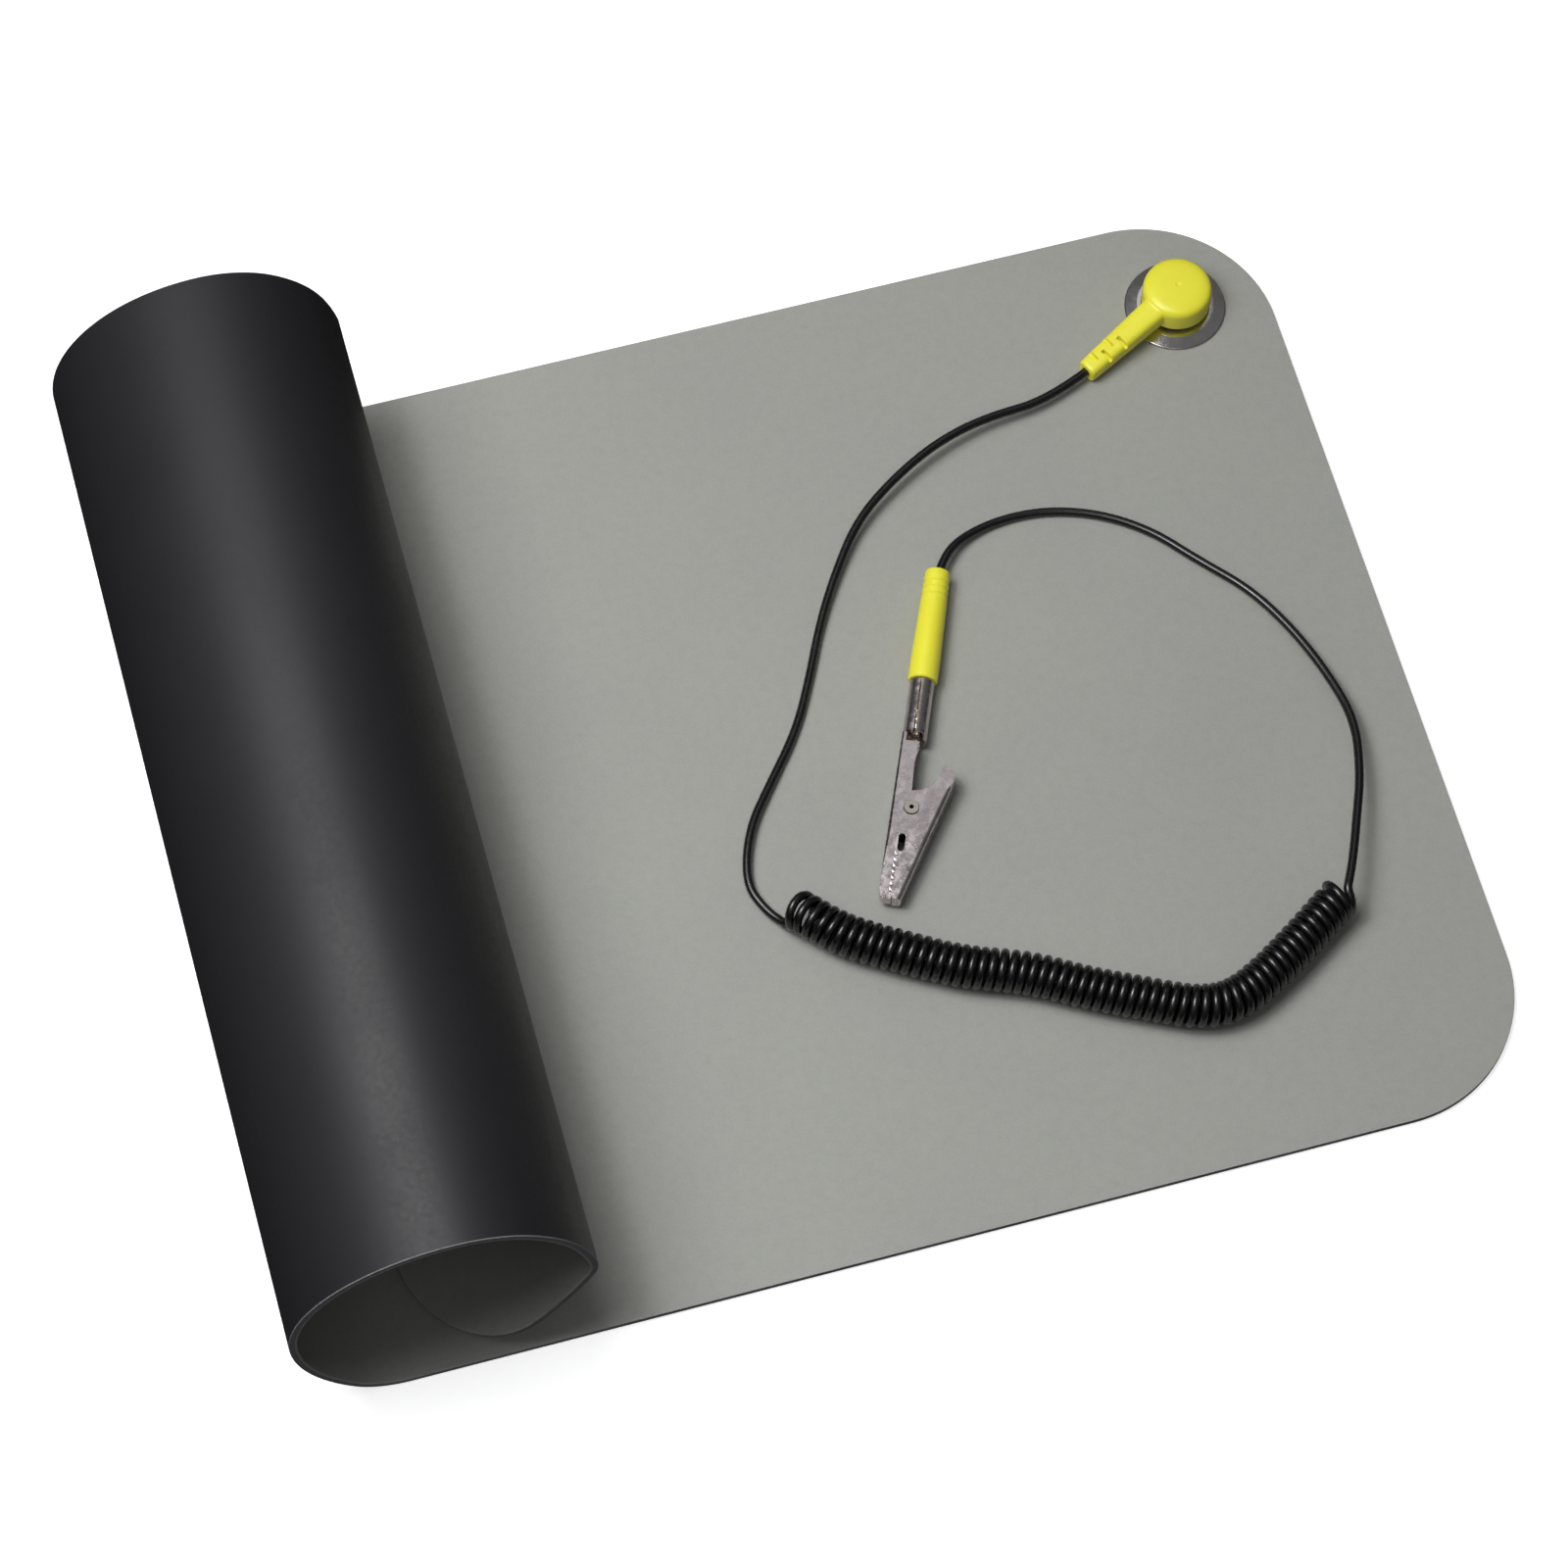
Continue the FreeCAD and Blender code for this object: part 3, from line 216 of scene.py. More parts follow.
WIRE = material("tinned_wire", lin(200, 198, 192), roughness=0.3, metallic=1.0,
                tints=[(1500, 2, 0.4, 0.7, lin(160, 156, 148), 0.4, None)],
                patches=[(1200, 2, 0.08, None)], bumps=[("noise", 3000, 2, 0.15, 0.00004, None)])
COPPER = material("copper_strand", lin(196, 118, 82), roughness=0.32, metallic=1.0,
                  tints=[(1500, 3, 0.4, 0.7, lin(150, 84, 58), 0.5, None)],
                  patches=[(1200, 2, 0.08, None)], bumps=[("noise", 2600, 1, 0.4, 0.0001, (1, 1, 1))])
YELLOW = material("yellow_plastic", lin(252, 246, 66), roughness=0.36, specular=0.5, subsurface=0.12, subsurface_scale=0.0012,
                  tints=[(160, 3, 0.4, 0.75, lin(247, 236, 58), 0.5, None), (1500, 3, 0.45, 0.75, lin(253, 249, 96), 0.3, None)],
                  patches=[(700, 3, 0.06, None)],
                  bumps=[("noise", 2400, 2, 0.25, 0.00006, None), ("noise", 420, 2, 0.15, 0.0001, None)])
JACKET = material("cord_jacket", lin(8, 8, 10), roughness=0.27, specular=0.7,
                  tints=[(300, 3, 0.4, 0.75, lin(14, 14, 16), 0.5, None)],
                  patches=[(800, 3, 0.05, None)],
                  bumps=[("noise", 2600, 2, 0.1, 0.00003, None), ("noise", 500, 2, 0.08, 0.00006, None)])
GOLDEN = material("nickel_brass", lin(216, 204, 176), roughness=0.24, metallic=1.0,
                  tints=[(600, 3, 0.45, 0.8, lin(190, 168, 120), 0.4, None)],
                  patches=[(700, 3, 0.07, None)], bumps=[("noise", 1800, 2, 0.1, 0.00006, None)])
CLIPSTEEL = material("clip_steel", lin(206, 197, 197), roughness=0.26, metallic=1.0,
                     tints=[(260, 4, 0.42, 0.66, lin(168, 152, 154), 0.55, None), (1500, 3, 0.5, 0.75, lin(228, 222, 222), 0.4, None)],
                     patches=[(500, 4, 0.09, None)],
                     bumps=[("noise", 380, 3, 0.34, 0.00022, None), ("noise", 2600, 2, 0.15, 0.00005, None)])

CAD_LOOK = {
    "ground_stud": NICKEL, "stud_rivet": NICKEL, "snap_spring_ring": SPRING, "snap_socket": NICKEL, "socket_eyelet": BRASS,
    "ring_terminal": TINNED, "series_resistor": LACQUER, "resistor_leads": WIRE, "snap_end_conductor": COPPER,
    "banana_plug_pin": GOLDEN, "banana_spring_leaves": GOLDEN, "plug_end_conductor": COPPER,
    "clip_pivot_rivet": NICKEL, "clip_torsion_spring": SPRING,
}


# ============================================================= mesh helpers
def to_object(name, verts, faces, mat, smooth=True):
    me = bpy.data.meshes.new(name)
    me.from_pydata([tuple(v) for v in verts], [], faces)
    me.validate()
    o = bpy.data.objects.new(name, me)
    scene.collection.objects.link(o)
    if mat is not None:
        me.materials.append(mat)
    if smooth:
        me.polygons.foreach_set("use_smooth", [True] * len(me.polygons))
    me.update()
    return o


def apply_modifiers(o):
    dg = bpy.context.evaluated_depsgraph_get()
    done = bpy.data.meshes.new_from_object(o.evaluated_get(dg), preserve_all_data_layers=True, depsgraph=dg)
    old = o.data
    o.modifiers.clear()
    o.data = done
    done.name = old.name + "_done"
    bpy.data.meshes.remove(old)
    return o


def outward(o):
    bm = bmesh.new()
    bm.from_mesh(o.data)
    bmesh.ops.recalc_face_normals(bm, faces=bm.faces)
    bm.to_mesh(o.data)
    bm.free()
    o.data.update()
    return o


def rounded(profile, radius, steps=4, closed=True):
    """The corners of a polygon in 2-D as small arcs. radius is one number or one for each corner."""
    n, made = len(profile), []
    for i in range(n):
        r = radius[i] if hasattr(radius, "__len__") else radius
        p = Vector(profile[i])
        if r <= 0 or (not closed and i in (0, n - 1)):
            made.append(tuple(p))
            continue
        a, b = Vector(profile[i - 1]), Vector(profile[(i + 1) % n])
        u, w = (a - p), (b - p)
        la, lb = u.length, w.length
        u.normalize()
        w.normalize()
        turn = math.pi - u.angle(w)
        if turn < 0.05:
            made.append(tuple(p))
            continue
        reach = min(r * math.tan(turn / 2), 0.45 * la, 0.45 * lb)
        start, end = p + u * reach, p + w * reach
        for k in range(steps + 1):
            t = k / steps
            made.append(tuple(start.lerp(p, t).lerp(p.lerp(end, t), t)))
    return made


def lathe(name, profile, mat, origin=(0, 0, 0), axis=(0, 0, 1), segments=96, closed=False):
    """Turns (radius, along) points round an axis. A closed profile makes a ring; an open one starts and ends on the axis."""
    axis = Vector(axis).normalized()
    side = Vector((1, 0, 0)) if abs(axis.x) < 0.9 else Vector((0, 1, 0))
    side = (side - axis * side.dot(axis)).normalized()
    other = axis.cross(side)
    origin = Vector(origin)
    verts, faces, rings = [], [], []
    for r, h in profile:
        if r < 1e-7:
            rings.append([len(verts)])
            verts.append(origin + axis * h)
        else:
            rings.append(list(range(len(verts), len(verts) + segments)))
            for k in range(segments):
                t = 2 * math.pi * k / segments
                verts.append(origin + axis * h + (side * math.cos(t) + other * math.sin(t)) * r)
    pairs = list(zip(rings[:-1], rings[1:]))
    if closed:
        pairs.append((rings[-1], rings[0]))
    for lo, hi in pairs:
        for k in range(segments):
            j = (k + 1) % segments
            if len(lo) == 1 and len(hi) == 1:
                continue
            if len(lo) == 1:
                faces.append((lo[0], hi[j], hi[k]))
            elif len(hi) == 1:
                faces.append((lo[k], lo[j], hi[0]))
            else:
                faces.append((lo[k], lo[j], hi[j], hi[k]))
    return outward(to_object(name, verts, faces, mat))


def weighted(o):
    wn = o.modifiers.new("weighted", "WEIGHTED_NORMAL")
    wn.keep_sharp = True
    return o


def cut_away(o, cutters, solver="EXACT"):
    for c in cutters:
        mod = o.modifiers.new("cut", "BOOLEAN")
        mod.operation = "DIFFERENCE"
        mod.solver = solver
        mod.object = c
    bpy.context.view_layer.update()
    apply_modifiers(o)
    for c in cutters:
        me = c.data
        bpy.data.objects.remove(c)
        bpy.data.meshes.remove(me)
    return o


def smooth_all(o, angle=None):
    me = o.data
    me.polygons.foreach_set("use_smooth", [True] * len(me.polygons))
    if angle is not None:
        me.set_sharp_from_angle(angle=math.radians(angle))
    me.update()
    return o


# ================================================================= the cord
STUD = Vector((127.3, 99.8, 0)) * MM
HEAD_DIR = Vector((-0.893, -0.450, 0)).normalized()
CLIP_AT = Vector((47.9, 40.9, 6.0)) * MM
CLIP_U = Vector((math.cos(math.radians(-113.26)), math.sin(math.radians(-113.26)), 0))
CLIP_V = Vector((-CLIP_U.y, CLIP_U.x, 0))
MOUTH = STUD + HEAD_DIR * 31.2 * MM + Vector((0, 0, 5.2 * MM))
CORD_R = 1.1 * MM

SNAP_LEAD = [
    (0.1039, 0.08801, 0.0052), (0.08917, 0.08058, 0.0052), (0.0711, 0.0792, 0.0064), (0.0574, 0.0752, 0.0071), (0.0441, 0.0682, 0.0068),
    (0.0327, 0.0599, 0.0058), (0.0237, 0.0478, 0.0045), (0.0165, 0.0359, 0.0035), (0.0102, 0.0226, 0.0031), (0.0034, 0.0099, 0.0031),
    (-0.0062, -0.0020, 0.0036), (-0.0147, -0.0128, 0.0040), (-0.0192, -0.0262, 0.0035), (-0.0163, -0.0342, 0.0034), (-0.0131, -0.0388, 0.0042)]
COIL_LINE = [
    (-0.0093, -0.0380, 0.0076), (-0.0046, -0.0428, 0.0074), (0.0003, -0.0476, 0.00735), (0.0130, -0.0555, 0.00735), (0.0250, -0.0624, 0.00735), (0.0390, -0.0674, 0.00735),
    (0.0513, -0.0749, 0.00735), (0.0636, -0.0810, 0.00735), (0.0750, -0.0866, 0.00735), (0.0836, -0.0872, 0.00735), (0.0925, -0.0832, 0.00735),
    (0.1033, -0.0767, 0.00735), (0.1170, -0.0674, 0.0076)]
CLIP_LEAD = [
    (0.1190, -0.0650, 0.0117), (0.12189, -0.05904, 0.0111), (0.12591, -0.04954, 0.0101), (0.13026, -0.03928, 0.0088),
    (0.13394, -0.02456, 0.0071), (0.1318, -0.00974, 0.0053), (0.12752, 0.00447, 0.0041), (0.1210, 0.0179, 0.0033), (0.1112, 0.0289, 0.0031), (0.1022, 0.0401, 0.0031), (0.0899, 0.0485, 0.0031),
    (0.0756, 0.0526, 0.0031), (0.0608, 0.0514, 0.0037), (0.04972, 0.04513, 0.0060), (0.04593, 0.03631, 0.0060)]
COIL_R = 4.15 * MM       # centreline of the cord in the coil
PER_TURN = 14


def nurbs(name, points, resolution=8):
    cu = bpy.data.curves.new(name, "CURVE")
    cu.dimensions = "3D"
    sp = cu.splines.new("NURBS")
    sp.points.add(len(points) - 1)
    for p, q in zip(sp.points, points):
        p.co = (q[0], q[1], q[2], 1)
    sp.order_u = 3
    sp.use_endpoint_u = True
    cu.resolution_u = resolution
    return cu


def line_of(points, resolution=24):
    """Points read along the smooth line of these control points."""
    cu = nurbs("line", points, resolution)
    o = bpy.data.objects.new("line", cu)
    me = bpy.data.meshes.new_from_object(o)
    co = np.array([v.co for v in me.vertices], float)
    bpy.data.meshes.remove(me)
    bpy.data.objects.remove(o)
    bpy.data.curves.remove(cu)
    return co


def helix_points():
    """Control points of the coil's close turns, round the line of its axis."""
    line = line_of(COIL_LINE)
    step = np.linalg.norm(np.diff(line, axis=0), axis=1)
    at = np.concatenate([[0], np.cumsum(step)])
    total = at[-1]
    rng = np.random.RandomState(5)
    turns = 60.278
    # distance along the axis as the turns go round: close turns, a little uneven, opening out at both ends
    count = int(turns * PER_TURN) + 1
    u = np.linspace(0, turns, count)
    pace = np.ones(count)
    knots = rng.uniform(-1, 1, int(turns / 2) + 4)
    pace += 0.035 * np.interp(u, np.arange(len(knots)) * 2.0, knots)
    pace += 0.3 * np.exp(-((turns - u) / 0.8) ** 2) - 0.22 * np.exp(-(u / 2.0) ** 2)
    along = np.concatenate([[0], np.cumsum((pace[1:] + pace[:-1]) / 2)])
    along = along / along[-1] * total
    radius = COIL_R / 0.97 * np.ones(count)
    wob = rng.uniform(-1, 1, int(turns / 1.5) + 4)
    radius *= 1 + 0.012 * np.interp(u, np.arange(len(wob)) * 1.5, wob)
    # the turns lean on each other, most where the lead pulls at the coil's ends
    lean = 0.05 - 0.48 * np.exp(-(u / 2.0) ** 2)
    swing = 0.45 * np.exp(-((turns - u) / 0.8) ** 2)
    start_angle = math.radians(200.0)
    pts = []
    for k in range(count):
        p = np.array([np.interp(along[k], at, line[:, i]) for i in range(3)])
        a = np.array([np.interp(min(along[k] + 1e-3, total), at, line[:, i]) for i in range(3)])
        b = np.array([np.interp(max(along[k] - 1e-3, 0), at, line[:, i]) for i in range(3)])
        t = (a - b) / np.linalg.norm(a - b)
        side = np.array([-t[1], t[0], 0.0])
        side /= np.linalg.norm(side)
        up = np.cross(t, side)
        phi = start_angle - 2 * math.pi * u[k]
        offset = side * math.cos(phi) + up * math.sin(phi)
        shift = t * (math.sin(phi) * lean[k] + math.cos(phi) * swing[k]) * COIL_R
        pts.append(p + offset * radius[k] + shift)
    return pts


def make_cord():
    points = [Vector(p) for p in SNAP_LEAD] + [Vector(p) for p in helix_points()] + [Vector(p) for p in CLIP_LEAD]
    cu = nurbs("grounding_cord", points, 8)
    cu.bevel_mode = "ROUND"
    cu.bevel_depth = CORD_R
    cu.bevel_resolution = 4
    cu.use_fill_caps = True
    cu.materials.append(JACKET)
    o = bpy.data.objects.new("grounding_cord", cu)
    scene.collection.objects.link(o)
    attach(o, "lead")
    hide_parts("cord_lead_snap", "cord_coil", "cord_lead_clip")
    return o


cord = make_cord()


# ================================================================== the mat
LENGTH, WIDTH, THICK, LAYER = 500.0, 250.0, 2.0, 1.4
FLAT_TO, FAR_X = -125.04, 150.9
ARCS = [(17.3, 50), (53.9, 40), (40.0, 40), (38.6, 50), (27.8, 40), (37.4, 30), (61.7, 10), (14.1, 35), (122.7, 10), (43.02, 48.08)]


def chain():
    """The outer face from above the floor's edge: (length at mid thickness, centre, radius, heading) of each arc."""
    x, z, h, s, found = FLAT_TO, 0.0, math.pi, FAR_X - FLAT_TO, []
    for radius, turn in ARCS:
        turn = math.radians(turn)
        cx, cz = x + math.sin(h) * radius, z - math.cos(h) * radius
        found.append((s, (cx, cz), radius, h))
        s += (radius - THICK / 2) * turn
        h -= turn
        x, z = cx - math.sin(h) * radius, cz + math.cos(h) * radius
    return found, s


CHAIN, CHAIN_END = chain()


def mat_point(s, t):
    """(x, z) of the sheet s along from the flat end at mid thickness, t in from the outer face. Millimetres."""
    if s <= CHAIN[0][0]:
        return FAR_X - s, t
    for s0, c, radius, h in reversed(CHAIN):
        if s >= s0:
            h = h - (s - s0) / (radius - THICK / 2)
            return c[0] - math.sin(h) * (radius - t), c[1] + math.cos(h) * (radius - t)


def stations():
    """Where rows of vertices go along the sheet, away from its rounded ends."""
    out = []
    s = 34.3 + 4
    while s < CHAIN[0][0] - 2:
        out.append(s)
        s += 7.0
    for i, (s0, c, radius, h) in enumerate(CHAIN):
        s1 = CHAIN[i + 1][0] if i + 1 < len(CHAIN) else CHAIN_END
        n = max(2, int(math.degrees((s1 - s0) / (radius - 1)) / 2.0))
        out += [s0 + (s1 - s0) * k / n for k in range(n)]
    return [s for s in out if s < CHAIN_END - 30.5]


MIDDLE = stations()
END_R, FREE_R = 34.3, 30.0
ROUND_STEPS = 24


def rows_at(inset):
    """(s, half width) of each row of a layer whose outline is inset by this much."""
    rows = []
    for k in range(ROUND_STEPS + 1):
        q = math.pi / 2 * k / ROUND_STEPS
        r = END_R - inset
        rows.append((inset + r * (1 - math.cos(q)), WIDTH / 2 - END_R + r * math.sin(q)))
    rows += [(s, WIDTH / 2 - inset) for s in MIDDLE]
    for k in range(ROUND_STEPS, -1, -1):
        q = math.pi / 2 * k / ROUND_STEPS
        r = FREE_R - inset
        rows.append((CHAIN_END - inset - r * (1 - math.cos(q)), WIDTH / 2 - FREE_R + r * math.sin(q)))
    return rows


def layer(name, low, high, low_round, high_round, mat, columns=48):
    """A closed sheet between two depths, with rounded edges; the attribute rim is 1 along its edge, where the material
    paints the rubber lighter: partly scuffing, partly a painted highlight.
    """
    verts, rim, faces = [], [], []

    def level(inset, t, scuff_and_highlight_weight):
        """One ring of boundary vertices round the outline, as two sides row by row."""
        left, right = [], []
        for s, half in rows_at(inset):
            x, z = mat_point(s, t)
            for side, y in ((left, -half), (right, half)):
                side.append(len(verts))
                verts.append((x * MM, y * MM, z * MM))
                rim.append(scuff_and_highlight_weight)
        return left, right

    def cap(left, right, t, inset, flip):
        n = len(left)
        grid = []
        for i, (s, half) in enumerate(rows_at(inset)):
            x, z = mat_point(s, t)
            row = [left[i]]
            for j in range(1, columns):
                row.append(len(verts))
                verts.append((x * MM, (-half + 2 * half * j / columns) * MM, z * MM))
                rim.append(0.0)
            row.append(right[i])
            grid.append(row)
        for i in range(n - 1):
            for j in range(columns):
                f = (grid[i][j], grid[i][j + 1], grid[i + 1][j + 1], grid[i + 1][j])
                faces.append(f[::-1] if flip else f)
        return grid

    rounds = []
    for k in range(4):
        q = math.pi / 2 * k / 3
        rounds.append((low_round * (1 - math.sin(q)), low + low_round * (1 - math.cos(q))))
    for k in range(4):
        q = math.pi / 2 * k / 3
        rounds.append((high_round * (1 - math.cos(q)), high - high_round * (1 - math.sin(q))))
    # rings on the rounded edges get rim 1 and are painted lighter: partly scuffing, partly a painted highlight
    levels = [level(inset, t, 0.0 if k in (0, len(rounds) - 1) else 1.0) for k, (inset, t) in enumerate(rounds)]
    bottom = cap(levels[0][0], levels[0][1], rounds[0][1], rounds[0][0], False)
    top = cap(levels[-1][0], levels[-1][1], rounds[-1][1], rounds[-1][0], True)
    for a, b in zip(levels[:-1], levels[1:]):
        for la, lb in ((a[0], b[0]), (a[1], b[1])):
            for i in range(len(la) - 1):
                faces.append((la[i], la[i + 1], lb[i + 1], lb[i]))
    # the two straight ends have columns too
    # the inner rings of the straight ends get rim 1 as well, painted lighter: partly scuffing, partly a painted
    # highlight
    def end_strip(row_index):
        previous = bottom[row_index]
        rows = [previous]
        for k in range(1, len(rounds) - 1):
            inset, t = rounds[k]
            s, half = rows_at(inset)[row_index]
            x, z = mat_point(s, t)
            row = [levels[k][0][row_index]]
            for j in range(1, columns):
                row.append(len(verts))
                verts.append((x * MM, (-half + 2 * half * j / columns) * MM, z * MM))
                rim.append(1.0)
            row.append(levels[k][1][row_index])
            rows.append(row)
        rows.append(top[row_index])
        for ra, rb in zip(rows[:-1], rows[1:]):
            for j in range(columns):
                faces.append((ra[j], ra[j + 1], rb[j + 1], rb[j]))

    end_strip(0)
    end_strip(-1)
    o = to_object(name, verts, faces, mat)
    attribute = o.data.attributes.new("rim", "FLOAT", "POINT")
    attribute.data.foreach_set("value", rim)
    outward(o)
    return o


def cylinder_tool(radius, low, high, segments=96):
    return lathe("tool", [(0, low * MM), (radius * MM, low * MM), (radius * MM, high * MM), (0, high * MM)], None, STUD, segments=segments)


base = layer("mat_base_sheet", 0.0, LAYER, 0.28, 0.05, BLACK)
cut_away(base, [cylinder_tool(2.0, -1, 1.9), cylinder_tool(6.8, -1, 0.5)])
weighted(base)
top = layer("mat_top_sheet", LAYER, THICK, 0.05, 0.22, GREY)
cut_away(top, [cylinder_tool(2.0, 1, 3)])
weighted(top)
for o, node, slot in ((base, "mat_base_layer", "black_rubber"), (top, "mat_top_layer", "grey_rubber")):
    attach(o, "mat")
    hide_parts(node)

# ====================================================== washer under the snap
washer = lathe("stud_washer_dish", [(r * MM, h * MM) for r, h in rounded(
    [(2.0, 2.0), (6.5, 2.0), (8.4, 2.72), (9.2, 2.75), (12.75, 2.03), (12.8, 2.3), (12.5, 2.55), (9.7, 3.2), (8.8, 3.3), (8.0, 3.18), (6.2, 2.5), (2.0, 2.5)],
    [0.1, 0.6, 0.4, 0.4, 0.1, 0.2, 0.2, 0.8, 0.5, 0.8, 0.8, 0.1], 5)], PLATE, STUD, segments=144, closed=True)
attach(washer, "mat")
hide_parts("stud_washer")


# ================================================================ snap head
def section_ring(at, half, low, high, power=3.6, count=48):
    """One rounded section of the neck across its axis."""
    side = Vector((-HEAD_DIR.y, HEAD_DIR.x, 0))
    cz, hz = (low + high) / 2, (high - low) / 2
    ring = []
    for k in range(count):
        q = 2 * math.pi * k / count
        c, s = math.cos(q), math.sin(q)
        y = half * math.copysign(abs(c) ** (2 / power), c)
        z = cz + hz * math.copysign(abs(s) ** (2 / power), s)
        ring.append(STUD + HEAD_DIR * at * MM + side * y * MM + Vector((0, 0, z * MM)))
    return ring


def loft(name, rings, mat):
    verts, faces, n = [], [], len(rings[0])
    for ring in rings:
        verts += ring
    for i in range(len(rings) - 1):
        for k in range(n):
            j = (k + 1) % n
            faces.append((i * n + k, i * n + j, (i + 1) * n + j, (i + 1) * n + k))
    faces.append(tuple(range(n))[::-1])
    faces.append(tuple((len(rings) - 1) * n + k for k in range(n)))
    return outward(to_object(name, verts, faces, mat))


def join(objects):
    bm = bmesh.new()
    for o in objects:
        bm.from_mesh(o.data)
    bm.to_mesh(objects[0].data)
    bm.free()
    for o in objects[1:]:
        me = o.data
        bpy.data.objects.remove(o)
        bpy.data.meshes.remove(me)
    return objects[0]


def block(centre, axis, along, across, upward, mat=None):
    """A box with its middle at centre, along axis in the floor plane."""
    axis = Vector(axis).normalized()
    side = Vector((-axis.y, axis.x, 0))
    up = Vector((0, 0, 1))
    verts = [centre + axis * sx * along / 2 + side * sy * across / 2 + up * sz * upward / 2 for sz in (-1, 1) for sx, sy in ((-1, -1), (1, -1), (1, 1), (-1, 1))]
    faces = [(3, 2, 1, 0), (4, 5, 6, 7), (0, 1, 5, 4), (1, 2, 6, 5), (2, 3, 7, 6), (3, 0, 4, 7)]
    return outward(to_object("block", verts, faces, mat, smooth=False))


def snap_head():
    puck = lathe("puck", [(r * MM, h * MM) for r, h in [(0, 5.0), (8.1, 5.0), (8.55, 5.15), (8.7, 5.6), (8.7, 10.2), (8.62, 10.9), (8.35, 11.5), (7.9, 11.95), (7.2, 12.32),
                                                         (6.3, 12.56), (5.2, 12.72), (3.6, 12.83), (1.8, 12.88), (0, 12.9)]], None, STUD, segments=96)
    share = lambda a, b, at: a + (b - a) * (at - 5.0) / 26.2
    rings = []
    for at in [1.0, 5.0, 8, 11, 14, 17, 20, 23, 26, 28, 29.6, 30.6, 31.05, 31.2]:
        half, low, high = share(3.6, 2.65, at), share(5.6, 2.6, at), share(12.0, 7.8, at)
        if at > 30:
            back = 0.28 * ((at - 30) / 1.2) ** 3
            half, low, high = half - back, low + back, high - back
        rings.append(section_ring(at, half, low, high))
    neck = loft("neck", rings, None)
    head = join([puck, neck])
    head.name = "snap_head_moulding"
    mod = head.modifiers.new("remesh", "REMESH")
    mod.mode = "VOXEL"
    mod.voxel_size = 0.2 * MM
    mod.adaptivity = 0.0
    apply_modifiers(head)
    mod = head.modifiers.new("soften", "SMOOTH")
    mod.factor, mod.iterations = 0.5, 9
    apply_modifiers(head)
    head.data.materials.clear()
    head.data.materials.append(YELLOW)
    smooth_all(head)
    # strain-relief slots: across the top from one side to just past the middle, left and right in turn
    cutters = []
    side = Vector((-HEAD_DIR.y, HEAD_DIR.x, 0))
    for i in range(4):
        at = 28.0 - 2.55 * i
        floor = share(12.0, 7.8, at) - 1.6
        s = 1 if i % 2 else -1
        cutters.append(block(STUD + HEAD_DIR * at * MM + side * s * 2.25 * MM + Vector((0, 0, (floor + 2) * MM)), HEAD_DIR, 1.0 * MM, 5.5 * MM, 4 * MM))
    cutters.append(lathe("tool", [(0, 2 * MM), (6.8 * MM, 2 * MM), (6.8 * MM, 7.4 * MM), (0, 7.4 * MM)], None, STUD, segments=96))
    cutters.append(lathe("tool", [(0, 0), (1.28 * MM, 0), (1.28 * MM, 3 * MM), (0, 3 * MM)], None, MOUTH - HEAD_DIR * 1.2 * MM, HEAD_DIR, 40))
    # the gate mark in the middle of its top
    cutters.append(lathe("tool", [(0, 12.73 * MM), (0.5 * MM, 12.76 * MM), (0.85 * MM, 12.92 * MM), (0.85 * MM, 13.3 * MM), (0, 13.3 * MM)], None, STUD, segments=32))
    cut_away(head, cutters)
    smooth_all(head, 40)
    return head


head = snap_head()
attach(head, "lead")
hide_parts("snap_head")

# ============================================================== plug sleeve
profile = rounded([(1.18, 0.0), (3.1, 0.0), (3.15, 2.4), (3.0, 2.6), (3.01, 3.2), (3.17, 3.4), (3.19, 4.2), (3.04, 4.4), (3.05, 5.0), (3.21, 5.2), (3.23, 6.0), (3.08, 6.2), (3.09, 6.8), (3.26, 7.0),
                   (3.7, 26.0), (3.68, 29.7), (3.35, 30.2), (2.3, 30.2), (2.2, 24.0), (1.18, 12.0)],
                  [0.1, 0.6, 0.1, 0.1, 0.1, 0.1, 0.1, 0.1, 0.1, 0.1, 0.1, 0.1, 0.1, 0.1, 4.0, 0.3, 0.3, 0.1, 0.1, 0.1], 5)
sleeve = lathe("plug_sleeve_moulding", [(r * MM, h * MM) for r, h in profile], YELLOW, CLIP_AT, CLIP_U, 96, closed=True)
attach(sleeve, "lead")
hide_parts("plug_sleeve")


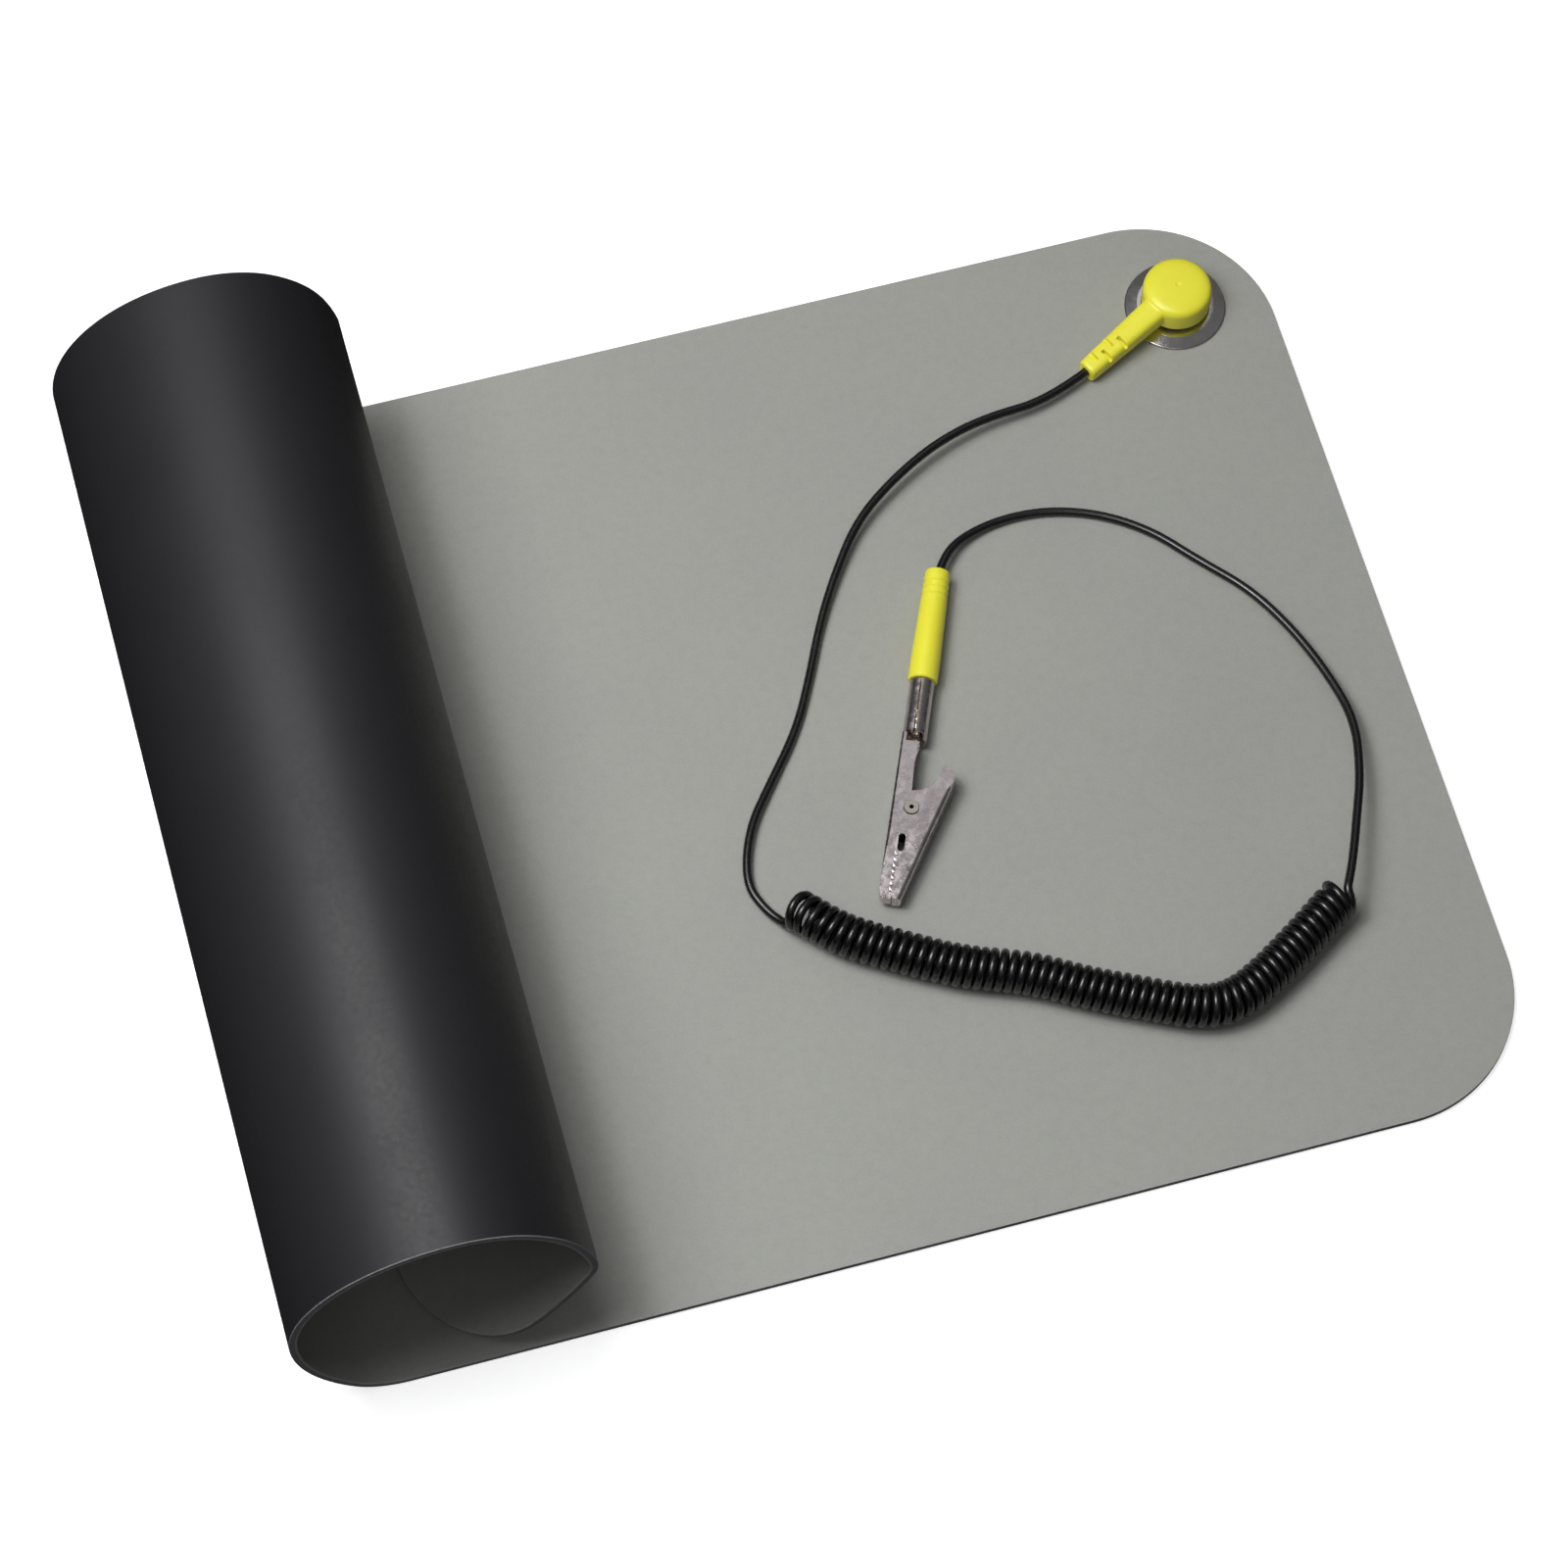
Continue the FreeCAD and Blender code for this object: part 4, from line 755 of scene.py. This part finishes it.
# ===================================================== clip, pressed from sheet
def pressing(name, node, width, mat, angle=24, spine=None):
    """The CAD pressing with its flats whole again and every bend and edge rounded; spine rounds the long folds more."""
    src = nodes[node].data
    me = bpy.data.meshes.new(name)
    bm = bmesh.new()
    bm.from_mesh(src)
    bmesh.ops.remove_doubles(bm, verts=bm.verts, dist=1e-6)
    bmesh.ops.dissolve_limit(bm, angle_limit=math.radians(1.5), verts=bm.verts, edges=bm.edges)
    if spine is not None:
        folds = []
        for e in bm.edges:
            a, b = e.verts[0].co, e.verts[1].co
            lateral = [(p - CLIP_AT).dot(CLIP_V) for p in (a, b)]
            if e.calc_length() > 12 * MM and min(lateral) > 0.5 * MM and abs(a.z - b.z) < 1.2 * MM and max(abs(a.z - CLIP_AT.z), abs(b.z - CLIP_AT.z)) > 3.1 * MM:
                folds.append(e)
        print("spine folds", len(folds))
        bmesh.ops.bevel(bm, geom=folds, offset=spine, offset_type="OFFSET", segments=5, profile=0.5, affect="EDGES", clamp_overlap=False)
    bm.to_mesh(me)
    bm.free()
    o = bpy.data.objects.new(name, me)
    scene.collection.objects.link(o)
    me.materials.clear()
    me.materials.append(mat)
    for p in me.polygons:
        p.material_index = 0
    bv = o.modifiers.new("edges", "BEVEL")
    bv.width, bv.segments, bv.limit_method, bv.angle_limit = width, 3, "ANGLE", math.radians(angle)
    bv.use_clamp_overlap = True
    bv.harden_normals = False
    bpy.context.view_layer.update()
    apply_modifiers(o)
    smooth_all(o, 50)
    weighted(o)
    return o


fixed_jaw = pressing("clip_fixed_pressing", "clip_fixed_jaw", 0.14 * MM, CLIPSTEEL)
moving_jaw = pressing("clip_moving_pressing", "clip_moving_jaw", 0.14 * MM, CLIPSTEEL, spine=1.1 * MM)
for o, node, body in ((fixed_jaw, "clip_fixed_jaw", "clip"), (moving_jaw, "clip_moving_jaw", "clip_jaw")):
    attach(o, body)
    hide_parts(node)

# =========================================================== CAD nodes kept
for name, mat in CAD_LOOK.items():
    o = nodes[name]
    o.data.materials.clear()
    o.data.materials.append(mat)
    for p in o.data.polygons:
        p.material_index = 0


# ================================================================ the studio
def area_light(name, where, towards, size, power, colour=(1, 1, 1), shape="DISK", size_y=None):
    data = bpy.data.lights.new(name, "AREA")
    data.shape, data.size, data.energy, data.color = shape, size, power, colour
    if size_y:
        data.size_y = size_y
    o = bpy.data.objects.new(name, data)
    o.location = Vector(where)
    o.rotation_mode = "QUATERNION"
    o.rotation_quaternion = (Vector(towards) - Vector(where)).to_track_quat("-Z", "Y")
    scene.collection.objects.link(o)
    return o


KEY_DIR = Vector((-0.34, 0.07, 0.93)).normalized()
area_light("key", KEY_DIR * 0.9, (0, 0, 0), 0.62, 5.6)
area_light("key_core", KEY_DIR * 0.88, (0, 0, 0), 0.13, 1.15)
area_light("back_panel", (0.3, 0.75, 1.15), (0, 0, 0), 0.7, 0.6)
area_light("front_fill", (-0.1, -0.7, 1.15), (0, 0, 0), 0.6, 0.55)
area_light("left_panel", (-1.3, -0.1, 0.55), (-0.1, 0, 0.04), 0.9, 0.55)

world = bpy.data.worlds.new("studio")
scene.world = world
world.use_nodes = True
wn = world.node_tree
wn.nodes.clear()
w_out = wn.nodes.new("ShaderNodeOutputWorld")
w_bg = wn.nodes.new("ShaderNodeBackground")
w_bg.inputs["Color"].default_value = (0.96, 0.97, 1.0, 1)
w_dir = wn.nodes.new("ShaderNodeTexCoord")
w_xyz = wn.nodes.new("ShaderNodeSeparateXYZ")
w_map = wn.nodes.new("ShaderNodeMapRange")
w_map.inputs["From Min"].default_value, w_map.inputs["From Max"].default_value = 0.0, 0.85
w_map.inputs["To Min"].default_value, w_map.inputs["To Max"].default_value = 0.03, 0.14
wn.links.new(w_dir.outputs["Generated"], w_xyz.inputs["Vector"])
wn.links.new(w_xyz.outputs["Z"], w_map.inputs["Value"])
wn.links.new(w_map.outputs["Result"], w_bg.inputs["Strength"])
wn.links.new(w_bg.outputs["Background"], w_out.inputs["Surface"])

# a pale floor that looks evenly white but throws no light up at the mat
floor_paint = material("floor_paint", lin(236, 236, 236), roughness=0.9, specular=0.1, tints=[(3, 2, 0.3, 0.7, lin(233, 233, 233), 0.5, None)])
for n in floor_paint.node_tree.nodes:
    if n.type == "BSDF_PRINCIPLED":
        n.inputs["Emission Color"].default_value = (1, 1, 1, 1)
        n.inputs["Emission Strength"].default_value = 0.72
floor = to_object("studio_floor", [(-12, -12, -0.0003), (12, -12, -0.0003), (12, 12, -0.0003), (-12, 12, -0.0003)], [(0, 1, 2, 3)], floor_paint)
floor.visible_diffuse = False
floor.visible_glossy = False
